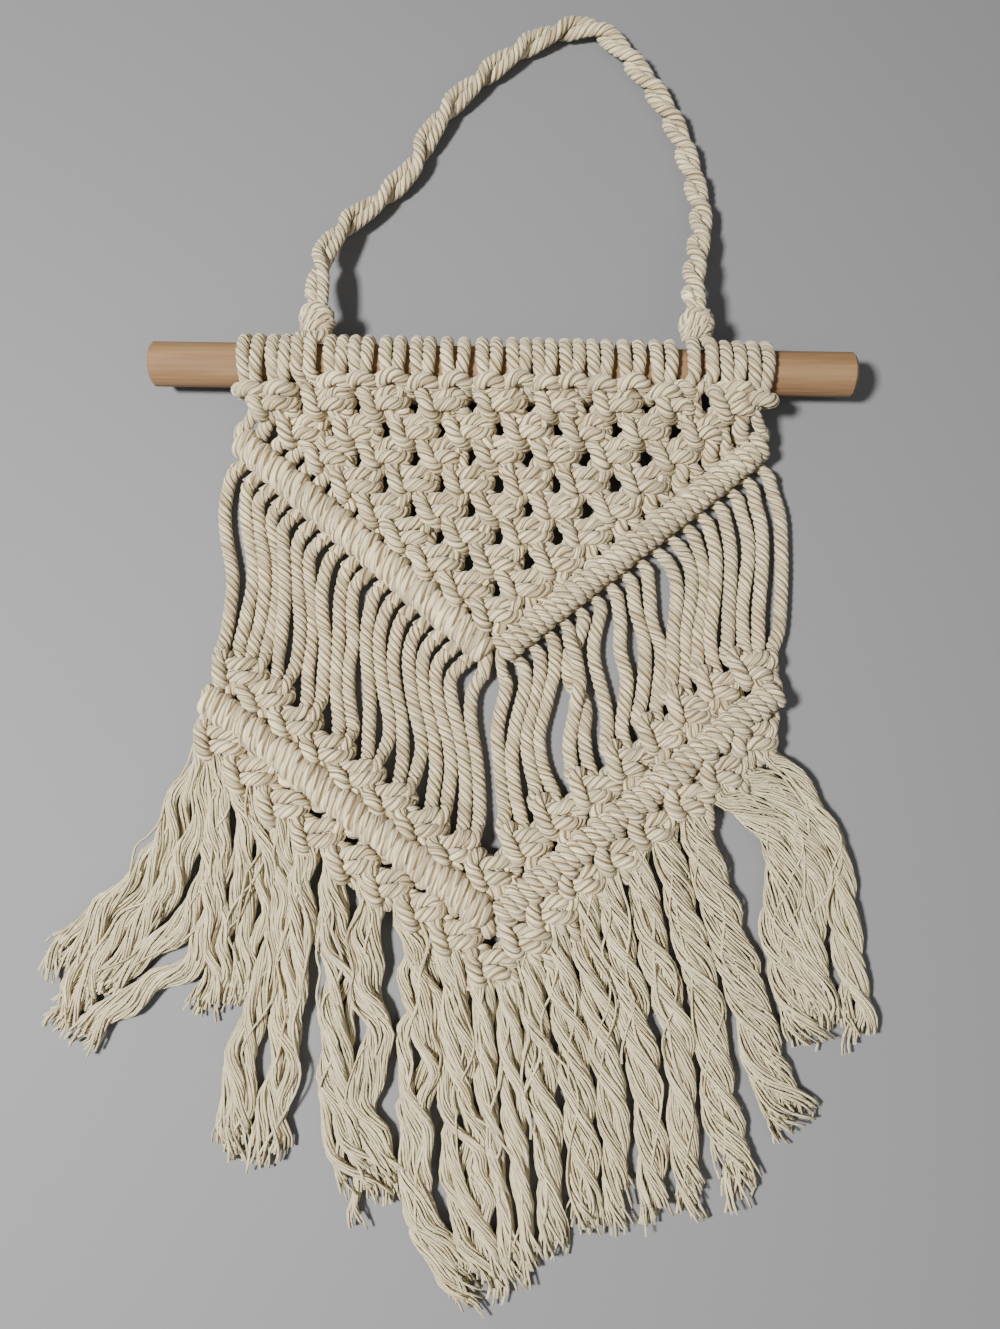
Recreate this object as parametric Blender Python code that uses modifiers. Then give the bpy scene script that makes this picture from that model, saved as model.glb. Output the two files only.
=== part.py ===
"""Macrame wall hanging on a wooden rod, laid out flat on a surface.

Run it with:  blender --background --python part.py

Metres, +Z up. +Y runs from the fringe up to the hanger and +X to the right, and the hanging rests on z = 0.
The tables and sizes below are in millimetres, measured in plan from a point near the tip of the knotted net.
Everything hangs from one empty, which stands the middle of the hanging's outline on the origin.
"""

import math

import bmesh
import bpy
from mathutils import Matrix, Vector

MM = 0.001
GAP = 0.3                       # clearance between pieces that touch
SPARE = 0.1                     # added where faces would otherwise just clear each other
WELD = 0.01                     # points of a mesh closer than this become one
SMOOTH_SAMPLES = 12             # points between two given ones while a curve is measured

# The middle, in plan, of everything but the hanger: the frame's origin stands there.
FRAME_MIDDLE = (-12.5, -39.3)

# Cord: four-ply cotton, knotted with 36 strands side by side.
CORD = 5.0
PRESSED_CORD = 4.4              # its width where neighbours squeeze it
STRANDS = 36

# Rod
ROD_DIAMETER = 15.0
ROD_LENGTH = 240.0
ROD_MIDDLE = (0.9, 100.7)
ROD_HEIGHT = 12.1               # its axis, carried clear of the surface by the cord wound round it
ROD_SIDES = 28
ROD_ROUNDING = 0.8              # at its ends
ROD_TURN = math.radians(-0.94)  # it lies a little askew

# Lark's head loops: the middle of each pair of strands along the rod.
# The two named pairs are the hanger's tails.
PAIR_X = (-83.6, -74.2, -65.0, -55.2, -45.8, -35.9, -26.0, -15.4, -4.2,
          5.6, 14.9, 24.2, 33.7, 44.0, 54.9, 67.0, 77.4, 86.8)
TAIL_PAIRS = (2, 15)
LOOP_STATIONS = (-150, -120, -90, -60, -30, 0, 22, 45, 68, 96, 124, 152, 180)  # degrees from the rod's top
LOOP_INNER = (ROD_DIAMETER / 2 + GAP) / math.cos(math.radians(15.0))  # clear of the rod between stations too
LOOP_WIDTH = 8.9
LOOP_OUTER = 12.1
LOOP_VALLEY = 10.7              # radius between its two strands
LOOP_CREST = 0.9                # from a loop's side to the top of its strand
BAR_RISE = 4.2                  # the loop's bar, above the strands that it holds down
BAR_ANGLE = 45.0                # where the bar crosses, towards the fringe
BAR_SPREAD = 30.0
BAR_SHARES = (0.5, 1.25)        # of its rise, over the strands and between them

# Net of alternating square knots: one row a line, with the height of its middle above the surface.
NET_ROWS = (
    # y, middle height, middle x
    (87.3, 13.5, 2.0),
    (80.2, 8.9, 1.5),
    (72.1, 6.4, 1.0),
    (62.7, 5.8, 0.4),
    (53.5, 5.5, -0.1),
    (44.3, 5.5, -0.7),
    (35.2, 5.5, -1.3),
    (25.9, 5.5, -1.8),
    (17.3, 5.5, -2.4),
)
KNOT_PITCH = 20.5               # four strands
KNOT_THICKNESS = 11.0
NET_BELOW_ROD = 12.7            # from the rod's axis to the net's edge, which clears the loops on the rod
NET_HALF_WIDTH = 92.0
HOLE_HALF = (2.35, 3.5)         # half width and half height of a hole between knots
HOLE_SIDE = 2.2                 # half length of its straight sides
HOLE_DROP = 2.3                 # a hole lies lower than the knots beside it
NOTCH_CORNER = 1.3              # height of the slanted floor of a hole that is open towards the rod
NET_EDGE_ABOVE = (3.0, 1.6)     # the net's upper edge from its first row: in plan and in height
NET_CHAMFER = 0.9

# Ridges of double half hitches: left end, tip and right end of each V, in plan.
UPPER_RIDGE = ((-89.8, 77.7), (-2.3, 3.4), (91.3, 76.6))
LOWER_RIDGE = ((-96.0, -12.2), (-1.9, -83.5), (90.8, -10.0))
RIDGE_RADIUS = 5.5
RIDGE_FLAT = 0.4                # depth of the flat that a ridge rests on
RIDGE_BESIDE = RIDGE_RADIUS + GAP + SPARE
RIDGE_RISE_SHARE = 0.1          # of an arm, the outer part that climbs with the net

# Lines of square knots beside the lower ridge, a knot for every two strands: middles of the end
# and tip knots.
KNOT_HALF = (9.2, 4.7)          # half width and half height of a knot
KNOT_STRANDS = 4
ARM_STEPS = 8                   # knots from an end to the tip
BAND_ABOVE = (
    # arm's outer knot, tip knot, sag of the arm between them
    ((-84.8, -1.1), (-1.6, -68.4), 2.7),
    ((84.0, -2.5), (-1.6, -68.4), -1.0),
)
BAND_BELOW = (
    ((-89.7, -26.1), (-1.9, -97.1), 3.4),
    ((83.0, -23.8), (-1.9, -97.1), 3.4),
)
BAND_CHAMFER = 0.8
BAND_NOTCH = (2.2, 3.4)         # half width and depth of a gap under the ridge

# Curtain of free cords between the two ridges
CURTAIN_EDGE = RIDGE_BESIDE     # its head, below the ridge's middle line
CURTAIN_HEADER = 1.8            # depth of the comb's back
CURTAIN_CORD = 3.9              # width of a tooth, less than the cord's own so that neighbours stay apart
CURTAIN_PITCH = 5.15
CURTAIN_MIDDLE_X = 0.6
CURTAIN_BOW = 3.0               # the cords bow outwards, most at the sides
CURTAIN_STEPS = 4

# Fringe: bundles of unravelled yarn, left to right.
FRINGE_EDGE = 0.4               # clearance under the knots
FRINGE_HEADER = 2.6             # depth of the comb's back below the knots' corners
FRINGE_HEIGHT = (8.5, 4.5)      # at the knots and where it has thinned
FRINGE_THINS_OVER = 100.0
FRINGE = (
    # root x and half width, then plan x, plan y and half width at stations down to the tip
    (-101.8, 2.7, ((-107, -50, 4.4), (-114, -70, 6.4), (-128, -84, 6.3), (-141, -99, 6.5))),
    (-95.6, 2.5, ((-98, -58, 3.4), (-104, -76, 3.7), (-117, -94, 5.6), (-135, -115, 7.1))),
    (-90.0, 2.5, ((-91.5, -63, 2.2), (-98, -81, 3.5), (-103, -94, 3.7), (-110, -105, 5.2))),
    (-84.3, 2.5, ((-86, -66, 2.7), (-90, -82, 3.5), (-94, -98, 4.2), (-96.5, -112, 4.8))),
    (-78.2, 2.5, ((-79, -70, 3.2), (-82, -85, 3.5), (-83.5, -98, 3.5), (-85.5, -109, 3.6))),
    (-70.6, 2.9, ((-71, -75, 3.5), (-74, -92, 3.2), (-75, -110, 3.1), (-80, -122, 4.1), (-84, -152, 4.8))),
    (-62.2, 3.3, ((-63, -80, 3.5), (-67, -98, 2.6), (-68, -116, 3.5), (-66, -132, 4.0), (-73, -156, 4.0))),
    (-53.3, 3.2, ((-54, -85, 4.2), (-53, -100, 4.3), (-50, -134, 5.0), (-50, -149, 5.0), (-39, -176, 5.5))),
    (-41.6, 4.0, ((-40, -95, 5.2), (-40, -110, 6.3), (-39, -126, 5.2), (-37, -156, 3.0), (-31, -169, 2.3))),
    (-27.4, 4.6, ((-25, -108, 5.1), (-26, -134, 5.3), (-25, -152, 4.5), (-24, -170, 4.7), (-10, -197, 4.7))),
    (-15.4, 3.6, ((-14, -116, 4.4), (-13, -134, 4.8), (-12, -152, 5.3),
                  (-10, -168, 4.2), (-7.4, -181, 3.0))),
    (-5.8, 2.8, ((-5, -120, 3.1), (-4.5, -134, 3.0), (-3, -152, 2.8), (-1, -170, 1.7), (1.6, -201, 3.8))),
    (2.2, 2.8, ((3, -119, 3.3), (4, -138, 3.5), (6, -157, 3.1), (8, -175, 2.1), (8.5, -187, 3.2))),
    (9.8, 2.9, ((11.2, -117, 4.0), (13, -132, 4.2), (15, -151, 4.1), (15.5, -169, 3.6), (17, -184, 3.9))),
    (18.2, 3.2, ((20.5, -109, 4.3), (23, -126, 4.5), (25, -144, 4.7), (26, -159, 4.7), (26.5, -175, 4.3))),
    (26.8, 3.3, ((30, -104, 4.5), (33, -123, 4.7), (35, -142, 4.7), (36, -159, 4.1), (36, -172, 4.0))),
    (35.4, 3.4, ((39, -96, 4.3), (43, -117, 4.7), (46, -135, 4.8), (47, -154, 4.5), (47, -169, 4.4))),
    (44.4, 3.5, ((48.4, -89, 4.4), (54, -109, 4.8), (56.5, -130, 4.6), (57, -149, 4.6), (59, -168, 4.4))),
    (53.6, 3.5, ((58.4, -81, 4.6), (64, -102, 4.7), (67, -122, 5.0), (69, -142, 5.4), (74, -162, 5.4))),
    (63.2, 3.8, ((68.6, -74, 5.0), (74.5, -94, 5.5), (80, -114, 6.2), (84, -130, 6.4), (92, -144, 7.6))),
    (83.0, 3.8, ((92, -53, 5.6), (95, -67, 6.8), (93, -83, 7.8), (93, -100, 7.4), (97.5, -117, 7.6))),
    (91.4, 3.0, ((103, -49, 3.8), (109, -63, 4.9), (110, -81, 4.9), (110, -99, 5.0), (113, -115, 5.8))),
)

# Hanger: two cords twisted into one rope. Plan x, plan y and height of its middle line.
ROPE_DIAMETER = 9.6
ROPE_STEP = 2.0                 # one ring of the tube for every so many diameters
ROPE_ROUTE = (
    (-62.9, 125.4, 17.0),
    (-62.6, 135.7, 14.5),
    (-61.0, 146.0, 11.5),
    (-54.6, 158.2, 7.5),
    (-46.4, 166.1, 5.5),
    (-38.6, 174.0, 5.0),
    (-31.6, 182.5, 5.0),
    (-26.2, 194.5, 5.0),
    (-19.0, 206.0, 5.0),
    (-9.8, 216.0, 5.0),
    (1.0, 225.5, 5.0),
    (12.5, 233.6, 5.0),
    (24.0, 238.6, 5.0),
    (34.8, 239.2, 5.0),
    (44.0, 231.5, 5.0),
    (53.4, 218.5, 5.0),
    (61.6, 204.0, 5.0),
    (67.4, 188.0, 5.0),
    (71.0, 171.5, 5.3),
    (71.6, 158.0, 7.6),
    (69.0, 144.0, 11.4),
    (66.6, 131.5, 15.3),
    (66.2, 124.0, 17.4),
)
HANGER_KNOTS = (
    # name, plan x, plan y, height, half sizes across, along and up
    ("hanger_knot_left", -62.3, 118.0, 16.6, (6.2, 5.4, 5.0)),
    ("hanger_knot_right", 67.4, 116.6, 16.6, (6.0, 5.6, 5.0)),
)
HANGER_KNOT_WAIST = (0.06, 2.5) # depth of its waist, and the waist's turn from bottom to top
TAIL_ARC = (-38.0, -14.0, 10.0, 34.0, 56.0)  # degrees from the rod's top towards the fringe
TAIL_END = (10.5, 15.9)         # distance from the rod's axis, and height, where a tail meets the net

COLOURS = {
    # name: base colour, roughness
    "cotton_cord": ((0.72, 0.67, 0.56), 0.9),
    "cotton_fringe": ((0.74, 0.68, 0.54), 0.92),
    "beech": ((0.58, 0.40, 0.25), 0.55),
}


def clear_scene():
    for obj in list(bpy.data.objects):
        bpy.data.objects.remove(obj, do_unlink=True)


def make_material(name):
    colour, roughness = COLOURS[name]
    material = bpy.data.materials.new(name)
    material.use_nodes = True
    shader = material.node_tree.nodes["Principled BSDF"]
    shader.inputs["Base Color"].default_value = (*colour, 1.0)
    shader.inputs["Roughness"].default_value = roughness
    shader.inputs["Metallic"].default_value = 0.0
    return material


def make_collection(name):
    collection = bpy.data.collections.new(name)
    bpy.context.scene.collection.children.link(collection)
    return collection


class Hanging:
    """The collection, the carrying empty and the materials that every piece shares."""

    def __init__(self):
        self.parts = make_collection("macrame_wall_hanging")
        self.carrier = bpy.data.objects.new("hanging", None)
        self.carrier.location = (-FRAME_MIDDLE[0] * MM, -FRAME_MIDDLE[1] * MM, 0.0)
        self.parts.objects.link(self.carrier)
        self.materials = {name: make_material(name) for name in COLOURS}

    def add(self, name, data, material):
        obj = bpy.data.objects.new(name, data)
        obj.parent = self.carrier
        data.materials.clear()
        data.materials.append(self.materials[material])
        self.parts.objects.link(obj)
        return obj


def curve_to_mesh(curve):
    """The curve's mesh, its caps welded to its sides."""
    guide = bpy.data.objects.new(curve.name, curve)
    bpy.context.scene.collection.objects.link(guide)
    graph = bpy.context.evaluated_depsgraph_get()
    mesh = bpy.data.meshes.new_from_object(guide.evaluated_get(graph))
    bpy.data.objects.remove(guide, do_unlink=True)
    bpy.data.curves.remove(curve)
    bm = bmesh.new()
    bm.from_mesh(mesh)
    bmesh.ops.remove_doubles(bm, verts=bm.verts, dist=WELD * MM)
    bmesh.ops.recalc_face_normals(bm, faces=bm.faces)
    bm.to_mesh(mesh)
    bm.free()
    return mesh


def poly_spline(curve, points, cyclic):
    spline = curve.splines.new("POLY")
    spline.points.add(len(points) - 1)
    for slot, point in zip(spline.points, points):
        slot.co = (*(value * MM for value in point), 1.0)
    spline.use_cyclic_u = cyclic


def slab(name, outlines, thickness, chamfer):
    """A flat piece, bottom at z = 0, from one outer outline and any holes, with chamfered edges."""
    curve = bpy.data.curves.new(name, "CURVE")
    curve.dimensions = "2D"
    curve.fill_mode = "BOTH"
    curve.extrude = (thickness / 2 - chamfer) * MM
    curve.bevel_depth = chamfer * MM
    curve.bevel_resolution = 0
    curve.offset = -chamfer * MM
    for outline in outlines:
        poly_spline(curve, [(x, y, 0.0) for x, y in outline], cyclic=True)
    mesh = curve_to_mesh(curve)
    mesh.transform(Matrix.Translation((0.0, 0.0, thickness / 2 * MM)))
    return mesh


def tube(name, points, radius, resolution):
    curve = bpy.data.curves.new(name, "CURVE")
    curve.dimensions = "3D"
    curve.bevel_depth = radius * MM
    curve.bevel_resolution = resolution
    curve.use_fill_caps = True
    poly_spline(curve, points, cyclic=False)
    return curve


def smooth_path(points, step):
    """Points about a step apart on a Catmull-Rom curve through the given ones, both ends kept."""
    route = [Vector(point) for point in points]
    route = [2 * route[0] - route[1], *route, 2 * route[-1] - route[-2]]
    fine = []
    for a, b, c, d in zip(route, route[1:], route[2:], route[3:]):
        for part in range(SMOOTH_SAMPLES):
            t = part / SMOOTH_SAMPLES
            fine.append(0.5 * (2 * b + (c - a) * t + (2 * a - 5 * b + 4 * c - d) * t * t
                               + (3 * b - a - 3 * c + d) * t * t * t))
    fine.append(route[-2])
    lengths = [0.0]
    for a, b in zip(fine, fine[1:]):
        lengths.append(lengths[-1] + (b - a).length)
    count = max(2, round(lengths[-1] / step))
    path = [fine[0]]
    for index in range(1, count):
        target = lengths[-1] * index / count
        after = next(i for i, length in enumerate(lengths) if length >= target)
        share = (target - lengths[after - 1]) / (lengths[after] - lengths[after - 1])
        path.append(fine[after - 1].lerp(fine[after], share))
    return [*path, fine[-1]]


def vee_side(vee, side, offset):
    """Outer end and direction of one arm of a V moved sideways, offset being positive towards the rod."""
    left, tip, right = (Vector(point) for point in vee)
    start, end = (left, tip) if side < 0 else (tip, right)
    along = (end - start).normalized()
    normal = Vector((-along.y, along.x))
    return start + normal * offset, along


def vee_line(vee, offset):
    """Left end, tip and right end of a V whose arms are moved sideways by the offset."""
    left, along_left = vee_side(vee, -1, offset)
    start, along_right = vee_side(vee, 1, offset)
    right = start + along_right * (Vector(vee[2]) - Vector(vee[1])).length
    across = start - left
    reach = ((across.x * along_right.y - across.y * along_right.x)
             / (along_left.x * along_right.y - along_left.y * along_right.x))
    return left, left + along_left * reach, right


def vee_height(vee, offset, x):
    """Plan y of the moved V at the given x."""
    left, tip, right = vee_line(vee, offset)
    end = left if x < tip.x else right
    return tip.y + (x - tip.x) * (end.y - tip.y) / (end.x - tip.x)


def rod_y(x):
    """Plan y of the rod's axis."""
    return ROD_MIDDLE[1] + (x - ROD_MIDDLE[0]) * math.tan(ROD_TURN)


def net_top(x):
    return rod_y(x) - NET_BELOW_ROD


def net_lift(y):
    """How far the net's underside is lifted at plan y: its top rows climb to the front of the rod."""
    first_y, first_height, _ = NET_ROWS[0]
    above_y, above_height = NET_EDGE_ABOVE
    rows = [(first_y + above_y, first_height + above_height), *((row[0], row[1]) for row in NET_ROWS)]
    for (high_y, high), (low_y, low) in zip(rows, rows[1:]):
        if y >= low_y:
            share = (y - low_y) / (high_y - low_y)
            return low + (high - low) * share - KNOT_THICKNESS / 2
    return 0.0


def hole_centres():
    """Row number and plan position of each place between two neighbouring knots of a row."""
    for row, (y, _, middle_x) in enumerate(NET_ROWS):
        count = len(NET_ROWS) - 1 - row
        for index in range(count):
            yield row, middle_x + (index - (count - 1) / 2) * KNOT_PITCH, y - HOLE_DROP


def hexagon(x, y):
    half, tall = HOLE_HALF
    return [(x, y + tall), (x - half, y + HOLE_SIDE), (x - half, y - HOLE_SIDE),
            (x, y - tall), (x + half, y - HOLE_SIDE), (x + half, y + HOLE_SIDE)]


def build_net(hanging):
    """The triangular net: its holes go through, and those of the first row are open towards the rod."""
    half, tall = HOLE_HALF
    notches = []
    holes = []
    for row, x, y in hole_centres():
        if row == 0:
            floor = y - tall
            corner = floor + NOTCH_CORNER
            notches += [(x - half, net_top(x - half)), (x - half, corner), (x, floor),
                        (x + half, corner), (x + half, net_top(x + half))]
        else:
            holes.append(hexagon(x, y))
    _, tip, _ = vee_line(UPPER_RIDGE, RIDGE_BESIDE)
    start, end = (NET_ROWS[0][2] + side * NET_HALF_WIDTH for side in (-1, 1))
    outline = [(start, net_top(start)), *notches, (end, net_top(end)),
               (end, vee_height(UPPER_RIDGE, RIDGE_BESIDE, end)), tuple(tip),
               (start, vee_height(UPPER_RIDGE, RIDGE_BESIDE, start))]
    mesh = slab("net", [outline[::-1], *holes], KNOT_THICKNESS, NET_CHAMFER)
    for vertex in mesh.vertices:
        vertex.co.z += net_lift(vertex.co.y / MM) * MM
    hanging.add("net", mesh, "cotton_cord")


def build_ridge(hanging, name, vee):
    """A roll of hitches along a V, flat underneath, its ends lifted as the net beside them is."""
    points = [(*point, RIDGE_RADIUS - RIDGE_FLAT) for point in vee_stations(vee)]
    mesh = curve_to_mesh(tube(name, points, RIDGE_RADIUS, 2))
    for vertex in mesh.vertices:
        vertex.co.z = max(vertex.co.z, 0.0) + net_lift(vertex.co.y / MM) * MM
    hanging.add(name, mesh, "cotton_cord")


def vee_stations(vee):
    """The V's ends and tip, with a point near each end where the rise towards the rod begins."""
    left, tip, right = (Vector(point) for point in vee)
    return left, left.lerp(tip, RIDGE_RISE_SHARE), tip, right.lerp(tip, RIDGE_RISE_SHARE), right


def knot_line(band):
    """Middles of a band's knots from left to right."""
    arms = []
    for outer, tip, sag in band:
        arm = []
        for step in range(ARM_STEPS + 1):
            share = step / ARM_STEPS
            drop = 4.0 * sag * share * (1.0 - share)
            arm.append(Vector(outer).lerp(Vector(tip), share) - Vector((0.0, drop)))
        arms.append(arm)
    left, right = arms
    return [*left, *right[-2::-1]]


def stair(band, side, spare=0.0):
    """Outer edge of a band from left to right, one tread for each knot.

    side is 1 for its upper edge and -1 for its lower one."""
    knots = knot_line(band)
    half, tall = KNOT_HALF
    left, tip, right = knots[:ARM_STEPS], knots[ARM_STEPS], knots[ARM_STEPS + 1:]
    if side > 0:
        risers = [left[0].x - half, *(knot.x + half for knot in left), *(knot.x - half for knot in right),
                  right[-1].x + half]
    else:
        risers = [*(knot.x - half - spare for knot in (*left, tip)),
                  *(knot.x + half + spare for knot in (tip, *right))]
    points = []
    for knot, start, end in zip(knots, risers, risers[1:]):
        y = knot.y + side * (tall + spare)
        points += [Vector((start, y)), Vector((end, y))]
    return points


def build_band_above(hanging):
    """The line of knots between the curtain and the lower ridge."""
    outer = stair(BAND_ABOVE, 1)
    _, tip, _ = vee_line(LOWER_RIDGE, RIDGE_BESIDE)
    ends = [Vector((x, vee_height(LOWER_RIDGE, RIDGE_BESIDE, x))) for x in (outer[0].x, outer[-1].x)]
    outline = [*outer, ends[1], tip, ends[0]]
    mesh = slab("band_above", [outline[::-1]], KNOT_THICKNESS, BAND_CHAMFER)
    hanging.add("band_above", mesh, "cotton_cord")


def build_band_below(hanging):
    """The line of knots between the lower ridge and the fringe, with a gap between every two of them."""
    outer = stair(BAND_BELOW, -1)
    _, tip, _ = vee_line(LOWER_RIDGE, -RIDGE_BESIDE)
    knots = knot_line(BAND_BELOW)
    half, depth = BAND_NOTCH
    inner = []
    for first, second in zip(knots, knots[1:]):
        middle = (first + second) / 2
        side = 1 if middle.x > tip.x else -1
        start, along = vee_side(LOWER_RIDGE, side, -RIDGE_BESIDE)
        on_edge = start + along * (middle - start).dot(along)
        down = Vector((along.y, -along.x))
        inner += [on_edge - along * half, on_edge + down * depth, on_edge + along * half]
    apex = len(inner) // 2
    ends = [Vector((x, vee_height(LOWER_RIDGE, -RIDGE_BESIDE, x))) for x in (outer[0].x, outer[-1].x)]
    outline = [ends[0], *inner[:apex], tip, *inner[apex:], ends[1], *outer[::-1]]
    hanging.add("band_below", slab("band_below", [outline], KNOT_THICKNESS, BAND_CHAMFER), "cotton_cord")


def curtain_foot(index, knots):
    """Where a free cord meets the knots: two for each knot of an arm, four for the outermost."""
    half_strands = STRANDS // 2
    from_side = min(index, STRANDS - 1 - index)
    place = max(from_side // 2 - 1, 0)
    knot = knots[place] if index < half_strands else knots[-1 - place]
    inwards = 1 if index < half_strands else -1
    x = knot.x + inwards * (from_side - 2 * place - (KNOT_STRANDS - 1) / 2) * (CORD + SPARE)
    return Vector((x, knot.y + KNOT_HALF[1] + GAP))


def curtain_cord(index, knots):
    """Middle line of one free cord, head to foot."""
    place = index - (STRANDS - 1) / 2
    head_x = CURTAIN_MIDDLE_X + place * CURTAIN_PITCH
    head = Vector((head_x, vee_height(UPPER_RIDGE, -CURTAIN_EDGE - CURTAIN_HEADER, head_x)))
    foot = curtain_foot(index, knots)
    outwards = CURTAIN_BOW * place / (STRANDS / 2)
    line = []
    for step in range(CURTAIN_STEPS + 1):
        share = step / CURTAIN_STEPS
        line.append(head.lerp(foot, share) + Vector((outwards * math.sin(math.pi * share), 0.0)))
    return line


def comb(head_edge, teeth, valley):
    """Outline of a comb: its head edge from left to right, then its teeth from right to left.

    A tooth is a list of (middle point, half width) from its root to its tip.
    valley(x) is the plan y between teeth."""
    outline = list(head_edge)
    for tooth in reversed(teeth):
        right_side, left_side = [], []
        for (point, half), before, after in zip(tooth, [tooth[0], *tooth], [*tooth[1:], tooth[-1]]):
            along = (after[0] - before[0]).normalized()
            across = Vector((-along.y, along.x)) * half
            right_side.append(point + across)
            left_side.append(point - across)
        for side in (right_side, left_side):
            side[0] = Vector((side[0].x, valley(side[0].x)))
        outline += [*right_side, *left_side[::-1]]
    return outline


def build_curtain(hanging):
    """The free cords as one comb, its head along the upper ridge."""
    knots = knot_line(BAND_ABOVE)
    half = CURTAIN_CORD / 2
    teeth = [[(point, half) for point in curtain_cord(index, knots)] for index in range(STRANDS)]
    _, tip, _ = vee_line(UPPER_RIDGE, -CURTAIN_EDGE)
    ends = [Vector((x, vee_height(UPPER_RIDGE, -CURTAIN_EDGE, x)))
            for x in (teeth[0][0][0].x - half, teeth[-1][0][0].x + half)]
    outline = comb([ends[0], tip, ends[1]], teeth,
                   lambda x: vee_height(UPPER_RIDGE, -CURTAIN_EDGE - CURTAIN_HEADER, x))
    hanging.add("curtain", slab("curtain", [outline[::-1]], CORD, 0.0), "cotton_cord")


def polyline_height(points, x):
    """Height at x of a line given from left to right, its ends carried on straight."""
    after = next((i for i, point in enumerate(points[1:-1], 1) if point.x > x), len(points) - 1)
    start, end = points[after - 1], points[after]
    return start.y + (x - start.x) * (end.y - start.y) / (end.x - start.x)


def build_fringe(hanging):
    """The unravelled ends as one comb, thinning away from the knots."""
    head = stair(BAND_BELOW, -1, FRINGE_EDGE)
    corners = [*head[:2 * ARM_STEPS + 1:2], *head[2 * ARM_STEPS + 1::2]]
    valley_line = [point - Vector((0.0, FRINGE_HEADER)) for point in corners]
    teeth = []
    for root_x, root_half, stations in FRINGE:
        root = Vector((root_x, polyline_height(valley_line, root_x)))
        teeth.append([(root, root_half), *((Vector((x, y)), half) for x, y, half in stations)])
    outline = comb(head, teeth, lambda x: polyline_height(valley_line, x))
    mesh = slab("fringe", [outline[::-1]], FRINGE_HEIGHT[0], 0.0)
    thick, thin = FRINGE_HEIGHT
    for vertex in mesh.vertices:
        below = polyline_height(corners, vertex.co.x / MM) - vertex.co.y / MM
        share = min(max(below / FRINGE_THINS_OVER, 0.0), 1.0)
        vertex.co.z *= (thick + (thin - thick) * share) / thick
    hanging.add("fringe", mesh, "cotton_fringe")


def lay_on_rod(obj, x):
    """Places a piece made round the X axis on the rod's axis."""
    obj.location = (x * MM, rod_y(x) * MM, ROD_HEIGHT * MM)
    obj.rotation_euler.z = ROD_TURN


def build_rod(hanging):
    bm = bmesh.new()
    bmesh.ops.create_cone(bm, cap_ends=True, segments=ROD_SIDES, radius1=ROD_DIAMETER / 2 * MM,
                          radius2=ROD_DIAMETER / 2 * MM, depth=ROD_LENGTH * MM)
    bmesh.ops.rotate(bm, verts=bm.verts, matrix=Matrix.Rotation(math.pi / 2, 3, "Y"))
    mesh = bpy.data.meshes.new("rod")
    bm.to_mesh(mesh)
    bm.free()
    mesh.shade_smooth()
    mesh.set_sharp_from_angle(angle=math.radians(40))
    rod = hanging.add("rod", mesh, "beech")
    lay_on_rod(rod, ROD_MIDDLE[0])
    rounding = rod.modifiers.new("rounded ends", "BEVEL")
    rounding.width = ROD_ROUNDING * MM
    rounding.segments = 1
    rounding.limit_method = "ANGLE"


def loop_section(degrees):
    """Profile across one lark's head at an angle round the rod, as (along, radius) pairs."""
    rise = BAR_RISE * max(0.0, 1.0 - abs(degrees - BAR_ANGLE) / BAR_SPREAD)
    over_strands, between = (rise * share for share in BAR_SHARES)
    half = LOOP_WIDTH / 2
    crest = half - LOOP_CREST
    return ((-half, LOOP_INNER), (-crest, LOOP_OUTER + over_strands), (0.0, LOOP_VALLEY + between),
            (crest, LOOP_OUTER + over_strands), (half, LOOP_INNER))


def loop_mesh():
    """One lark's head: a ring of two strands with the bar that holds them down, flat where it rests."""
    bm = bmesh.new()
    rings = []
    for degrees in LOOP_STATIONS:
        angle = math.radians(degrees)
        ring = []
        for along, radius in loop_section(degrees):
            height = max(radius * math.cos(angle), -ROD_HEIGHT)
            ring.append(bm.verts.new((along * MM, -radius * math.sin(angle) * MM, height * MM)))
        rings.append(ring)
    for ring, after in zip(rings, [*rings[1:], rings[0]]):
        for index in range(len(ring)):
            beside = (index + 1) % len(ring)
            bm.faces.new((ring[index], ring[beside], after[beside], after[index]))
    bmesh.ops.recalc_face_normals(bm, faces=bm.faces)
    mesh = bpy.data.meshes.new("larks_head")
    bm.to_mesh(mesh)
    bm.free()
    return mesh


def build_loops(hanging):
    mesh = loop_mesh()
    for index, x in enumerate(PAIR_X):
        if index in TAIL_PAIRS:
            continue
        lay_on_rod(hanging.add(f"larks_head_{index + 1:02d}", mesh.copy(), "cotton_cord"), x)
    bpy.data.meshes.remove(mesh)


def build_tails(hanging):
    """The hanger's two cords at each side, laid over the front of the rod into the net."""
    radius = PRESSED_CORD / 2
    reach = ROD_DIAMETER / 2 + GAP + radius
    for pair, side in zip(TAIL_PAIRS, ("left", "right")):
        for number, shift in ((1, -1), (2, 1)):
            x = PAIR_X[pair] + shift * (radius + GAP / 2)
            route = []
            for degrees in TAIL_ARC:
                angle = math.radians(degrees)
                route.append((x, rod_y(x) - reach * math.sin(angle), ROD_HEIGHT + reach * math.cos(angle)))
            route.append((x, rod_y(x) - TAIL_END[0], TAIL_END[1]))
            name = f"hanger_tail_{side}_{number}"
            hanging.add(name, tube(name, route, radius, 1), "cotton_cord")


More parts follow.
